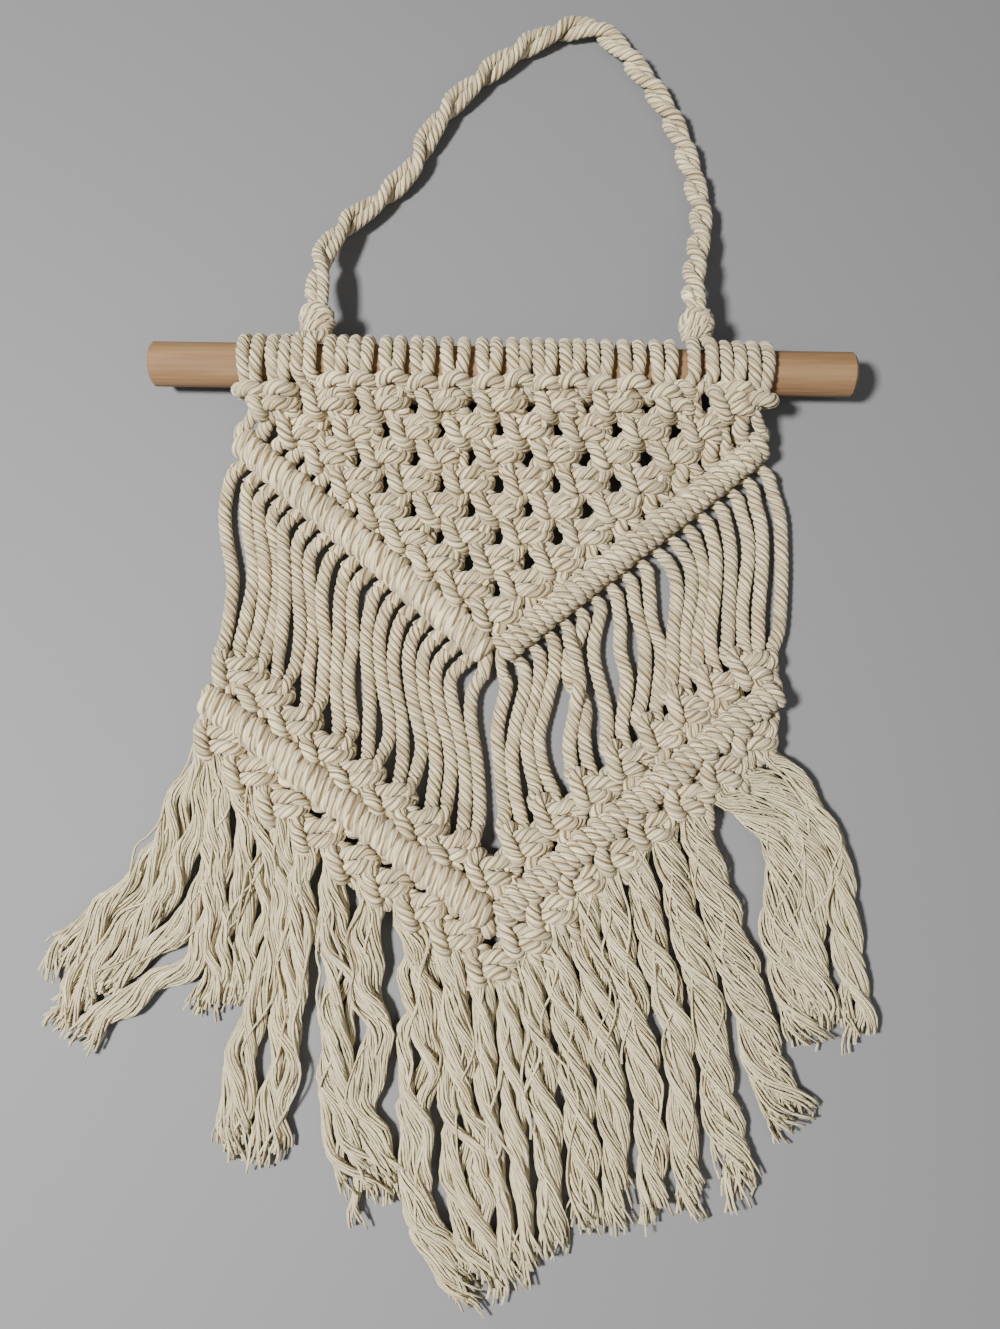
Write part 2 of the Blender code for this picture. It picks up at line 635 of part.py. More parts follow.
def build_hanger_knots(hanging):
    """Each knot is a lump whose swell turns round it, as its crossed cords do."""
    waist, turn = HANGER_KNOT_WAIST
    for name, x, y, height, (across, along, up) in HANGER_KNOTS:
        bm = bmesh.new()
        bmesh.ops.create_uvsphere(bm, u_segments=12, v_segments=8, radius=1.0)
        for vertex in bm.verts:
            around = math.atan2(vertex.co.y, vertex.co.x)
            tall = vertex.co.z
            swell = 1.0 - waist * (1.0 - math.cos(2.0 * around + turn * tall)) * (1.0 - tall ** 2)
            vertex.co = Vector((vertex.co.x * across, vertex.co.y * along, tall * up)) * swell * MM
        mesh = bpy.data.meshes.new(name)
        bm.to_mesh(mesh)
        bm.free()
        hanging.add(name, mesh, "cotton_cord").location = (x * MM, y * MM, height * MM)


def build_hanger(hanging):
    path = smooth_path(ROPE_ROUTE, ROPE_STEP * ROPE_DIAMETER)
    hanging.add("hanger_rope", tube("hanger_rope", path, ROPE_DIAMETER / 2, 2), "cotton_cord")


def main():
    clear_scene()
    hanging = Hanging()
    build_rod(hanging)
    build_loops(hanging)
    build_tails(hanging)
    build_net(hanging)
    build_ridge(hanging, "ridge_upper", UPPER_RIDGE)
    build_curtain(hanging)
    build_band_above(hanging)
    build_ridge(hanging, "ridge_lower", LOWER_RIDGE)
    build_band_below(hanging)
    build_fringe(hanging)
    build_hanger_knots(hanging)
    build_hanger(hanging)


main()
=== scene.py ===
"""Looks of a macrame wall hanging on a wooden rod: every cord of the knotted net, the ridges, the curtain and
the fringe is swept along its own path.

Tables are in millimetres in plan, measured from a point near the tip of the knotted net, as in the CAD model:
+X to the right, +Y towards the hanger, +Z out of the front. in_frame() puts them in the frame, in metres.
"""

import collections
import functools
import itertools
import math

import bpy
import numpy as np
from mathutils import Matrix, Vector


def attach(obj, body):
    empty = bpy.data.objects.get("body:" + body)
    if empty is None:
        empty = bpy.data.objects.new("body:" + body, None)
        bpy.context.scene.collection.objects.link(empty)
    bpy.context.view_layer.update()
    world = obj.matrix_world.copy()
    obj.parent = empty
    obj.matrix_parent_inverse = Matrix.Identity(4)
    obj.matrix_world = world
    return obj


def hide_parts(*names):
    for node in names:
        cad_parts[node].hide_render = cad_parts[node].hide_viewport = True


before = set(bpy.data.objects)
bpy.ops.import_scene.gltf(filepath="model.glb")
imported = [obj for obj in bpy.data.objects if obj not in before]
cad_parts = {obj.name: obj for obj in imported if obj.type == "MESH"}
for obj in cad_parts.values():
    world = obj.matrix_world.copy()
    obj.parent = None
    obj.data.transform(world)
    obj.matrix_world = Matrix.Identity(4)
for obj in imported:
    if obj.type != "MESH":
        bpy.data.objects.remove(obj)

bl_info = {
    "name": "Macrame wall hanging",
    "version": (1, 0, 0),
    "blender": (4, 5, 0),
    "location": "3D View > Sidebar > Hanging",
    "description": "Builds a knotted cotton wall hanging on a wooden rod, with its floor, lights and camera",
    "category": "Add Mesh",
}

MM = 0.001
HANGER_SEED, WORK_SEED, FRINGE_SEED = 3, 7, 11      # added to the seed that the panel gives
PLAN_ORIGIN = (12.5, 39.3)      # plan zero in the frame, mm

# Camera: place in plan, degrees from straight down, and its focal length as a share of the picture's height
CAMERA_PLACE = (0.0, -63.74, 361.49)
CAMERA_TILT = 10.0
FOCAL_SHARE = 1086 / 1329
SENSOR_HEIGHT = 24.0

# Rod
ROD_RADIUS = 7.5
ROD_MIDDLE = (0.9, 100.7)
ROD_HEIGHT = 12.1
ROD_TURN = math.radians(-0.94)

# Studio, in metres: each light's name, place, size and power, where they aim, and the light from all round
LIGHTS = (("key", (-0.50, -0.08, 0.93), 0.14, 27.5), ("fill", (0.5, -0.5, 1.1), 1.2, 3.0))
AIM = (0.0, 0.02, 0.0)
WORLD_COLOUR, WORLD_STRENGTH = (0.93, 0.96, 1.0, 1.0), 0.20
FLOOR_HALF, FLOOR_Z = 3.0, -0.0005

STRANDS = 36                    # side by side, in 18 pairs along the rod
PAIRS = (
    # plan x of the left and the right strand on the rod, and degrees past its top where the bar crosses them
    (-86.3, -81.6, 56), (-76.6, -72.2, 54), (-67.9, -63.6, 0), (-57.2, -53, 40), (-48.9, -44.5, 39),
    (-38.5, -33.7, 35), (-28.1, -23.7, 41), (-17.9, -12.1, 38), (-6, -1.2, 39), (4.2, 8.6, 35),
    (12.9, 17.1, 40), (22, 26.5, 36), (31.2, 36, 40), (41.7, 46.8, 38), (52.5, 57.6, 50), (64.9, 70.9, 0),
    (75.8, 80.5, 58), (85.1, 90, 61),
)
TAIL_PAIRS = (2, 15)            # come from the hanger's knots, not from a loop round the rod

# A lark's head's bar, out to where it goes under the rod: across, degrees past its middle, and radius. The
# right strand carries the whole bar, and the left strand starts beneath its end.
BAR_SPAN = ((-4.1, 10.5, 12), (-2.5, 3.5, 13.7), (0, -1.6, 14.3), (2.2, 1.4, 14.1))
BAR_END = ((3.8, 7.5, 13), (4.5, 14, 11.5), (4.4, 24, 10.3), (3.8, 42, 9.9), (3.2, 76, 9.9))
BAR_SHARE = 1.06                # of a free cord's thickness
WRAP_SHARE = 0.94
WRAP_BEHIND = range(150, 345, 30)       # degrees from the rod's top
WRAP_PRESSED = 1.5              # closer to the rod at its top edge than in front
WRAP_LEAN = 0.16                # of a strand's way to its pair's middle
# A strand over the rod and under the bar: leans, share of the bar's degrees, degrees past them, and closer by
WRAP_FRONT = ((0, 0, 0, 0.4), (1, 0.5, 0, 0.2), (2, 1, 0, 0.2), (2, 1, 12, 0))
TAIL_START = ((1.6, 3.0, 0.0), (2.2, 6.0, 1.4))     # out of the hanger's knot: across, down and up
TAIL_ARC = ((-36, 10.2), (-12, 9.85), (12, 9.85), (34, 10.1))   # degrees from the rod's top, radius

# Radius of a cord where it lies free, in the net, in the bands, in the ridges, and from the net to each arm
# of the upper ridge
FREE, KNOTTED, BANDED, HITCHED, JOINING = 2.35, 2.15, 2.15, 1.95, (2.45, 2.45 * 1.2)

NET_ROWS = (
    # y, middle height, then x of the first knot, of the row's middle and of the last knot
    (88.1, 14.2, -76.3, 0.4, 80),
    (79.5, 9.8, -66.6, 0.1, 69.9),
    (71.8, 7.4, -57.6, 0, 59.7),
    (61.6, 6.6, -48.6, -0.3, 49.3),
    (52.5, 6.3, -39.1, 0, 39.8),
    (43.7, 6.2, -29.8, -0.2, 29.6),
    (34.3, 6.2, -20.4, -0.1, 20),
    (25.3, 6.2, -10.7, -0.9, 8.9),
    (16.6, 6.2, -0.4, -0.4, -0.4),
)

# A square knot's four cords from top to bottom: across, along and out of the front, and share of thickness
# where that isn't 1
KNOT_PATHS = (
    # the cord that passes in front
    ((-7.3, 4.4, 1.4), (-6, 2.8, 1.4), (-3.4, 2.4, 2.9), (0.3, 2.4, 4.3, 1.02), (4, 2.5, 3), (6, 0.6, 0, 0.9),
     (5, -3.4, 1, 0.95), (2.9, -3.2, 3.6, 1.05), (0, -2.4, 4.4, 1.05), (-3.4, -2.7, 3), (-6, -3.6, 0.2),
     (-7.3, -4.4, -0.8)),
    ((-2.5, 3.8, 0), (-2.1, 0, 0), (-2.4, -3.8, 0)),
    ((2.5, 3.8, 0), (2.1, 0, 0), (2.5, -4.4, 2.2)),
    # the cord that passes behind
    ((7, 5.2, 0.2, 0.9), (5.8, 3.6, 1.4, 0.85), (4.9, 1.8, 3, 0.85), (4.1, 0.3, 1.4, 0.9), (3, 1.7, -2.4),
     (0, 2.3, -4), (-3.6, 3, -3), (-6.2, 5, 0.4), (-7.5, 3.6, 3.4, 0.95), (-6.9, 0.9, 4.8, 1.02),
     (-5.8, -2, 4.9, 1.1), (-4.4, -4.6, 3.2, 1.05), (-3.3, -5, 0), (-1, -3, -3.6), (3, -2, -2.6),
     (4.3, -2.3, 1.8, 0.8), (5, -3.8, 2.8, 0.78), (6.2, -5, 1.4, 0.85), (7, -5.8, 0.2, 0.9)),
)
# How much knots vary in the net and in the bands: place in mm, turn in radians, and size
KNOT_MOVES, KNOT_TURNS, KNOT_SIZES = (0.3, 0.25), 0.07, 0.03
BAND_TURNS, BAND_SIZES = 0.08, (0.97, 1.04)

# Ridges of double half hitches: left end, tip, right end and height of their middle line
UPPER_RIDGE = ((-88.2, 76.4), (-2.3, 3.4), (89.6, 75.3), 6.3)
LOWER_RIDGE = ((-96.0, -12.2), (-1.9, -83.5), (90.8, -10.0), 8.6)
HITCHES = 17                    # on each arm
# A strand's way to the back of its hitch: along, across and out of the front
NET_TO_RIDGE = ((0.0, 7.4, 0.1), (0.0, 4.2, -1.2))
BAND_TO_RIDGE = ((0.0, 7.2, -0.3), (0.0, 4.2, -1.6))
RIGHT_HITCH_SIZE = 1.1          # of the left arm's hitches
CARRIER_SHARES = np.linspace(0.0, 0.93, 14)     # of the arm, where its carrier's points are
CARRIER_END = ((3.0, -1.0, -1.0), (2.7, -7.0, -2.8))    # from the tip: outwards, towards the rod and up
# A hitch's cord from its start behind the ridge to where it leaves: along, across and out of the front
HITCH_PATH = (
    (-1.7, -2.4, -3.1), (-1.7, -3.7, -0.9), (-1.65, -2.9, 2.4), (-1.6, 0, 3.8), (-1.6, 2.9, 2.4),
    (-1.6, 3.8, 0), (-1.3, 2.6, -2.6), (-0.6, 0, -3.8), (0.6, -2.4, -3), (1.4, -3.7, -0.9), (1.6, -2.9, 2.4),
    (1.65, 0, 3.8), (1.7, 2.9, 2.4), (1.7, 3.8, 0), (1.5, 2.6, -2.6), (1, 0, -3.8), (0.3, -2.6, -3.4),
    (0, -5, -2.2), (0, -7.4, -1.7),
)

# Bands: their knots' places, from left to right
KNOT_HALF_HEIGHT = 4.7
BAND_ABOVE = (
    (-85.5, -4), (-76.6, -11.6), (-66.5, -20.6), (-55.8, -29.6), (-45.8, -37.8), (-35.2, -45.3),
    (-24.8, -53.8), (-14.2, -61.4), (-1.6, -68.4), (9.4, -59.7), (20, -51.1), (31.5, -42.7), (42.9, -33.9),
    (53.8, -24.8), (63.8, -16.5), (73.5, -9), (84, -2.5),
)
BAND_BELOW = (
    (-90.2, -26.4), (-80, -36.8), (-69, -47.2), (-58, -56.6), (-46, -65), (-34.6, -72.2), (-23.4, -79.6),
    (-12.7, -88.2), (-1.9, -97.1), (9.3, -89), (16.7, -80.2), (26.4, -70.9), (38.4, -63), (49.4, -54.5),
    (61, -45.2), (73, -36.3), (82.8, -25),
)
BAND_HEIGHT = 5.2               # of the knots' middles
# A strand's end in the fringe, from its last knot: a step down the work and lower, then its last point
STUB_STEP, STUB_END, STUB_HEIGHT = (2.0, 0.4), 4.0, 4.8
STRAND_OFFSETS = (-7.5, -2.5, 2.5, 7.5)     # of a band knot's four strands
CURTAIN_START = np.array((-0.62, -0.78, 0.0)) * 2.6     # a free cord's first step from a hitch on a left arm
CURTAIN_FOOT = (3.5, 1.5)       # its end: above a band knot's edge and behind its middle
CURTAIN_HEIGHTS = (2.5, 3.3, 2.9)   # of one cord after another
CURTAIN_SHARES = (0.1, 0.25, 0.42, 0.6, 0.78, 0.92)
# How far each free cord lies right of the straight line between its ends, at those shares of its way down, in
# half millimetres
LEFT_BOWS = (
    # outermost first
    (-7, -8, -4, 2, 2, 1), (-4, -1, 5, 7, 4, 2), (-7, -3, 5, 8, 6, 1), (-6, -6, -2, 1, 2, 2),
    (-9, -7, -4, -3, -2, -2), (-7, -7, -2, 4, 5, 3), (-9, -8, -7, -5, -3, -1), (-6, -8, -7, -2, -1, -1),
    (-5, -5, -5, -5, -4, -1), (-9, -9, -5, -7, -6, -3), (-5, -7, -6, -3, -1, -1), (-6, -9, -7, -2, 4, 3),
    (-7, -9, -9, -5, 0, 1), (-7, -9, -6, 0, 4, 2), (-9, -10, -7, -2, 2, 1), (-10, -11, -9, -1, 2, 1),
    (-11, -10, -5, 0, 1, 0), (-8, -9, -7, -4, -1, 0),
)
RIGHT_BOWS = (
    (5, 10, 10, 9, 7, 5), (3, 7, 7, 5, 2, 1), (4, 8, 8, 4, 1, 1), (4, 6, 6, 4, 2, 1), (4, 7, 5, 1, -1, 0),
    (5, 8, 8, 6, 2, 0), (8, 12, 10, 4, 2, 1), (8, 11, 9, 6, 4, 2), (3, 3, 3, 10, 7, 3), (3, 3, 7, 7, 5, 2),
    (3, 4, 2, 6, 3, 0), (2, -3, -5, -2, 1, 1), (0, -8, -9, -2, -2, -1), (3, 3, 5, 6, -1, -2),
    (3, 2, -4, -10, -10, -4), (4, 2, -3, -6, -4, -3), (4, 4, -2, -6, -5, -2), (4, -1, -4, -3, -2, -1),
)

# Hanger: its middle line in plan and height
ROPE_ROUTE = (
    (-62.9, 125.4, 17), (-62.6, 135.7, 14.5), (-61, 146, 11.5), (-54.6, 158.2, 7.5), (-46.4, 166.1, 5.5),
    (-38.6, 174, 5), (-31.6, 182.5, 5), (-26.2, 194.5, 5), (-19, 206, 5), (-9.8, 216, 5), (1, 225.5, 5),
    (12.5, 233.6, 5), (24, 238.6, 5), (34.8, 239.2, 5), (44, 231.5, 5), (53.4, 218.5, 5), (61.6, 204, 5),
    (67.4, 188, 5), (71, 171.5, 5.3), (71.6, 158, 7.6), (69, 144, 11.4), (66.6, 131.5, 15.3),
    (66.2, 124, 17.4),
)
ROPE_TURNS = (43.0, 40.0, 27.0, 24.0)   # length of one turn of its two cords, from its left end to its right
ROPE_START = 0.6                # angle of the first of them at its left end
ROPE_DWELL = 0.3                # how much longer they lie side by side than one over the other
ROPE_STRAND_RADIUS = 2.25
ROPE_SPREAD = 0.88              # of that radius, how far their middle lines are from its own
ROPE_PRESSED = 0.96             # of it, how high they lie at least
ROPE_PLY_LEAD = 1.05            # of the other cords'
KNOT_CORD = 0.95                # of a rope cord's radius, that of its knots' cord
KNOT_WINDS, KNOT_WIND_ENDS = 2.0, 2.2   # turns of their cord round the rope, and radians before and after
KNOT_TAPER = 0.42               # share of its middle's squared width that a knot loses at its ends
KNOT_BOW = 0.05                 # bend of the cords across its front, for each mm out from the middle
KNOT_NECK = ((1.5, 10.0), (1.3, 6.0), (0.9, 2.0))       # the rope's two cords above it: out and along
HANGER_KNOTS = (
    # name, plan x, plan y, height, half sizes across, along and up, rise of the cords that cross its front
    ("hanger_knot_left", -62.3, 116.2, 16.6, (6.2, 5.4, 5.0), 0.30),
    ("hanger_knot_right", 67.2, 114.0, 16.6, (6.0, 5.6, 5.0), 0.75),
)

# Fringe: bundles of unravelled yarn, left to right
FRINGE = (
    # root x, root y, root half width, then plan x, plan y and half width at stations down to the tip
    (-97.2, -30, 2.7, ((-102.9, -42.5, 3.6), (-110, -61.5, 4.3), (-125.5, -80.5, 5.2), (-142, -99, 5.8))),
    (-94.5, -35, 2.7, ((-97, -52, 3.1), (-106, -70, 4), (-117, -87, 5), (-129.5, -100, 5.5),
     (-140, -115, 5.5))),
    (-91.5, -37, 2.4, ((-93, -56, 3), (-94.5, -70, 3.2), (-103, -86, 3.6), (-115, -96, 4),
     (-129, -106, 4.4))),
    (-90, -37, 2.5, ((-91, -61, 2.9), (-92.5, -79.5, 3.3), (-98, -96, 3.8), (-114, -106, 4.2),
     (-133, -119, 4.4))),
    (-84.3, -41, 2.7, ((-82, -56, 3.2), (-86, -72, 3.8), (-89.5, -89, 4.2), (-90, -101, 4.4),
     (-94, -113, 4.6))),
    (-78.2, -44, 2.7, ((-75.8, -65, 3.6), (-78, -79.5, 4), (-81, -93, 4), (-84.5, -109, 4))),
    (-70.6, -51, 3, ((-70.5, -71, 4), (-72, -88, 4.1), (-75, -104, 4.2), (-81, -121, 4.4), (-83, -153, 5))),
    (-62.2, -58, 3.3, ((-63.7, -79.5, 3.8), (-65.5, -96, 4.1), (-67.5, -112, 4.5), (-67.5, -130, 4.8),
     (-75, -157, 5.2))),
    (-53.3, -65, 3.4, ((-55, -86, 4.6), (-51, -100, 4.8), (-51.5, -120, 4.8), (-49.5, -149, 5.2),
     (-38.5, -171, 6))),
    (-41.8, -73, 3.8, ((-42.5, -90, 4.2), (-42.5, -104, 4.2), (-38.6, -120, 4.6), (-42.5, -138, 4.6),
     (-34, -168, 4.6))),
    (-27.4, -82, 4.6, ((-25, -108, 5.1), (-26, -134, 5.3), (-26, -152, 4.5), (-24, -172, 4.7),
     (-9, -197, 4.9))),
    (-15.4, -91, 3.6, ((-14, -116, 4.4), (-13, -134, 4.8), (-11, -152, 6.6), (-9, -168, 6.6),
     (-5, -190, 5.4))),
    (-5.8, -98, 2.8, ((-5, -120, 3.1), (-4.5, -134, 3), (-2, -152, 2.8), (1, -170, 2.2), (4, -190, 3.6))),
    (2.2, -99, 2.8, ((3, -119, 3.3), (4, -138, 3.5), (6, -157, 3.1), (8, -175, 2.1), (8.5, -187, 3.2))),
    (9.8, -93, 2.9, ((11.2, -117, 4), (13, -132, 4.2), (15, -151, 4.1), (15.5, -169, 3.6),
     (17, -184, 3.9))),
    (18.2, -85, 3.2, ((20.5, -109, 4.3), (23, -126, 4.5), (25, -144, 4.7), (26, -159, 4.7),
     (26.5, -175, 4.3))),
    (26.8, -76, 3.3, ((30, -104, 4.5), (33, -123, 4.7), (35, -142, 4.7), (36, -159, 4.1), (36, -172, 4))),
    (35.4, -70, 3.4, ((39, -96, 4.3), (43, -117, 4.7), (46, -135, 4.8), (47, -154, 4.5), (47, -169, 4.4))),
    (44.4, -64, 3.5, ((48.4, -89, 4.4), (54, -109, 4.8), (56.5, -130, 4.6), (57, -149, 4.6),
     (59, -168, 4.4))),
    (53.6, -57, 3.5, ((58.4, -81, 4.6), (64, -102, 4.7), (67, -122, 5), (69, -142, 5.4), (74, -162, 5.4))),
    (63.2, -49, 3.8, ((68.6, -74, 5), (74.5, -94, 5.5), (80, -114, 6.2), (84, -130, 6.4), (92, -144, 7.6))),
    (72.5, -41.5, 3, ((80.5, -47.5, 4), (90.5, -58, 5.2), (92, -74, 6.2), (90.5, -90, 6.4),
     (97, -116, 7.2))),
    (80.5, -35, 3, ((90.5, -42, 4.2), (98.5, -55, 5), (101.5, -72, 5.4), (99, -86, 5), (100, -110, 6))),
    (88, -28.5, 2.6, ((94.5, -35, 2.4), (101.5, -46, 2.8), (109, -61, 3.4), (111, -80, 4.4),
     (113, -116, 5.8))),
)
LONG_FROM = -30.0               # plan x of the first long bundle
TIP_REACH = (4.0, 9.0)          # how far bundles run on past their last station, left and right of there
BUNDLE_ROOT = ((5.0, 5.6, 1.25), (-3.0, 5.6, 1.3))      # along, height, and share of the root's half width
BUNDLE_SHARES = (1.22, 1.22, 1.1, 1.1, 1.1)     # of the half width at each station
BUNDLE_HEIGHT, BUNDLE_FALL = 3.9, 0.25          # at the first station, and from one to the next
YARN_RADIUS, YARN_VARIES = 0.47, (0.85, 1.12)
YARN_STEP = 2.7
YARN_SIDES = 3
LOOSE_YARNS = 2                 # that bulge out of each bundle
BRUSH = 13.0                    # length over which the yarns spread at their ends
TWISTED_FROM = -8.0             # bundles right of this plan x keep their plies tightly twisted
# A bundle's lie: range of the length of one turn of its plies, how far they stray from it as a share of its
# width, its crimp in mm, plies for each mm of its half width, and yarns in each ply
Lie = collections.namedtuple("Lie", "turn stray crimp plies yarns")
TIGHT = Lie(turn=(42.0, 54.0), stray=0.16, crimp=0.3, plies=0.66, yarns=18)
LOOSE = Lie(turn=(62.0, 95.0), stray=0.42, crimp=0.9, plies=0.95, yarns=15)

HEADING, NET, RIDGE_UPPER, CURTAIN, ABOVE, RIDGE_LOWER, BELOW = range(7)
HOLDS = (1.00, 0.20, 0.03, 0.06, 0.12, 0.03, 0.12)      # how firmly each keeps its place while settling

# Settling
POINT_STEP = 1.6                # between a strand's points
TENSION = 0.22                  # share of its bend that a point loses in a round
PRESSED = 0.9                   # of their two radii, how far apart two cords' middle lines are kept
ROD_CLEAR = 0.97                # of a cord's radius, how far its middle line is kept off the rod
PUSH = 0.3                      # share of an overlap undone in a round
LONGEST_PUSH = 0.6
SEARCH_EVERY = 5                # rounds, for pairs that overlap or come within a margin of it
SEARCH_MARGIN = 0.6
OWN_POINTS = 5                  # a point is never pushed by those this near it along its own strand


def in_frame(points):
    """Plan millimetres to metres in the frame."""
    return (np.asarray(points, float)[..., :3] + (*PLAN_ORIGIN, 0.0)) * MM


def rod_y(x):
    return ROD_MIDDLE[1] + (x - ROD_MIDDLE[0]) * math.tan(ROD_TURN)


def catmull(points, step, samples=10):
    """Points about a step apart on a Catmull-Rom curve through the given ones. Later columns ride along."""
    given = np.asarray(points, float)
    route = np.vstack([2 * given[0] - given[1], given, 2 * given[-1] - given[-2]])
    a, b, c, d = (route[i:len(route) - 3 + i, None, :] for i in range(4))
    t = np.linspace(0.0, 1.0, samples, endpoint=False)[None, :, None]
    square, cube = 2 * a - 5 * b + 4 * c - d, 3 * b - a - 3 * c + d
    fine = 0.5 * (2 * b + (c - a) * t + square * t ** 2 + cube * t ** 3)
    fine = np.vstack([fine.reshape(-1, given.shape[1]), given[-1:]])
    length = np.concatenate([[0.0], np.cumsum(np.linalg.norm(np.diff(fine[:, :3], axis=0), axis=1))])
    targets = np.linspace(0.0, length[-1], max(3, round(length[-1] / step) + 1))
    return np.column_stack([np.interp(targets, length, fine[:, k]) for k in range(given.shape[1])])


def near_pairs(points, reach):
    """Index pairs of points closer than the reach, found cell by cell."""
    cells = np.floor(points / reach).astype(np.int64)
    cells -= cells.min(axis=0) - 1
    size = cells.max(axis=0) + 2
    keys = (cells[:, 0] * size[1] + cells[:, 1]) * size[2] + cells[:, 2]
    order = np.argsort(keys, kind="stable")
    ordered = keys[order]
    first, second = [], []
    for dx, dy, dz in itertools.product((-1, 0, 1), repeat=3):
        wanted = keys + (dx * size[1] + dy) * size[2] + dz
        start = np.searchsorted(ordered, wanted, "left")
        count = np.searchsorted(ordered, wanted, "right") - start
        i = np.repeat(np.arange(len(points)), count)
        ramp = np.arange(len(i)) - np.repeat(np.cumsum(count) - count, count)
        j = order[np.repeat(start, count) + ramp]
        keep = i < j
        first.append(i[keep])
        second.append(j[keep])
    first, second = np.concatenate(first), np.concatenate(second)
    close = np.linalg.norm(points[first] - points[second], axis=1) < reach
    return first[close], second[close]


def settle(paths, holds, rounds):
    """Lets the cords push each other apart where they overlap and pull straight elsewhere.

    Each path is an array of x, y, z, radius and index. Holds say how firmly each point keeps its place. The
    ends of the paths don't move."""
    lengths = [len(path) for path in paths]
    points = np.vstack([path[:, :3] for path in paths])
    start = points.copy()
    radius = np.concatenate([path[:, 3] for path in paths])
    hold = np.concatenate(holds)[:, None]
    strand = np.repeat(np.arange(len(paths)), lengths)
    place = np.concatenate([np.arange(n) for n in lengths])
    last = np.repeat(lengths, lengths) - 1
    inner = (place > 0) & (place < last)
    before = np.where(inner, np.arange(len(points)) - 1, np.arange(len(points)))
    after = np.where(inner, np.arange(len(points)) + 1, np.arange(len(points)))
    free = inner[:, None] * (hold < 1.0)
    axis_slope = math.tan(ROD_TURN)
    for turn in range(rounds):
        if turn % SEARCH_EVERY == 0:
            i, j = near_pairs(points, 2 * radius.max() + SEARCH_MARGIN)
            keep = (strand[i] != strand[j]) | (np.abs(place[i] - place[j]) > OWN_POINTS)
            i, j = i[keep], j[keep]
            wanted = PRESSED * (radius[i] + radius[j])
        gap = points[i] - points[j]
        distance = np.maximum(np.linalg.norm(gap, axis=1), 1e-6)
        overlap = np.maximum(wanted - distance, 0.0)
        push = gap * (PUSH * overlap / distance)[:, None]
        moves = np.column_stack([np.bincount(i, push[:, k], len(points))
                                 - np.bincount(j, push[:, k], len(points)) for k in range(3)])
        size = np.linalg.norm(moves, axis=1)
        moves *= np.minimum(1.0, LONGEST_PUSH / np.maximum(size, 1e-9))[:, None]
        moves += TENSION * (1.0 - hold) * ((points[before] + points[after]) / 2 - points)
        moves += hold * (start - points)
        points += moves * free
        points[:, 2] = np.maximum(points[:, 2], radius * PRESSED)
        # out of the rod
        off_y = points[:, 1] - (ROD_MIDDLE[1] + (points[:, 0] - ROD_MIDDLE[0]) * axis_slope)
        off_z = points[:, 2] - ROD_HEIGHT
        away = np.hypot(off_y, off_z)
        clear = ROD_RADIUS + radius * ROD_CLEAR
        lift = np.where((away < clear) & free[:, 0], clear / np.maximum(away, 1e-6) - 1.0, 0.0)
        points[:, 1] += off_y * lift
        points[:, 2] += off_z * lift
    parts = np.split(points, np.cumsum(lengths)[:-1])
    return [np.column_stack([part, path[:, 3:]]) for part, path in zip(parts, paths)]


class Ridge:
    """One V of hitches. Its left arm is side -1 and its right arm side 1."""

    def __init__(self, vee):
        self.left, self.tip, self.right = (np.array(point) for point in vee[:3])
        self.height = vee[3]

    def arm(self, side):
        """Outer end, unit vectors along the arm and up across it, and its length."""
        outer = self.left if side < 0 else self.right
        along = self.tip - outer
        length = float(np.linalg.norm(along))
        along /= length
        across = np.array([-along[1], along[0]])
        return outer, along, across * np.sign(across[1]), length

    def place(self, side, share, offsets):
        """Points given as along, across and out of the front, from a place on one arm."""
        outer, along, across, length = self.arm(side)
        offsets = np.atleast_2d(offsets)
        middle = outer + along * length * share
        plan = middle + offsets[:, :1] * along + offsets[:, 1:2] * across
        lift = np.array([net_height(y) for y in plan[:, 1]])
        return np.column_stack([plan, self.height + lift + offsets[:, 2]])

    def at_hitch(self, side, hitch, offsets):
        return self.place(side, (hitch + 0.6) / (HITCHES + 0.4), offsets)

    def lead_in(self, threads, offsets, radii, label):
        """Brings every strand but the carriers to its hitch. Radii are of the left and the right arm."""
        for side, radius in zip((-1, 1), radii):
            for hitch in range(HITCHES):
                strand = hitch + 1 if side < 0 else STRANDS - 2 - hitch
                threads[strand].add(self.at_hitch(side, hitch, offsets), radius, label)


def net_height(y):
    """How far the work is lifted off the surface at plan y: it climbs to the front of the rod."""
    ys, heights = zip(*((row[0], row[1] - NET_ROWS[-1][1]) for row in reversed(NET_ROWS)))
    return float(np.interp(y, ys, heights))


def knot(centre, height, position, turn=0.0, size=1.0):
    """Path of one of a square knot's four cords, through its place in the work."""
    path = np.array([(*point, 1.0)[:4] for point in KNOT_PATHS[position]]) * (size, size, size, 1.0)
    cos, sin = math.cos(turn), math.sin(turn)
    x = centre[0] + path[:, 0] * cos - path[:, 1] * sin
    y = centre[1] + path[:, 0] * sin + path[:, 1] * cos
    return np.column_stack([x, y, height + path[:, 2], path[:, 3]])


class Thread:
    """Waypoints of one cord, each with its radius and the piece that it belongs to."""

    def __init__(self):
        self.rows = []
        self.labels = []

    def add(self, points, radius, label):
        for point in np.atleast_2d(points):
            share = point[3] if len(point) > 3 else 1.0
            self.rows.append((*point[:3], radius * share, len(self.rows)))
            self.labels.append(label)

    def label_of(self, path):
        return np.array(self.labels)[np.clip(np.round(path[:, 4]).astype(int), 0, len(self.labels) - 1)]


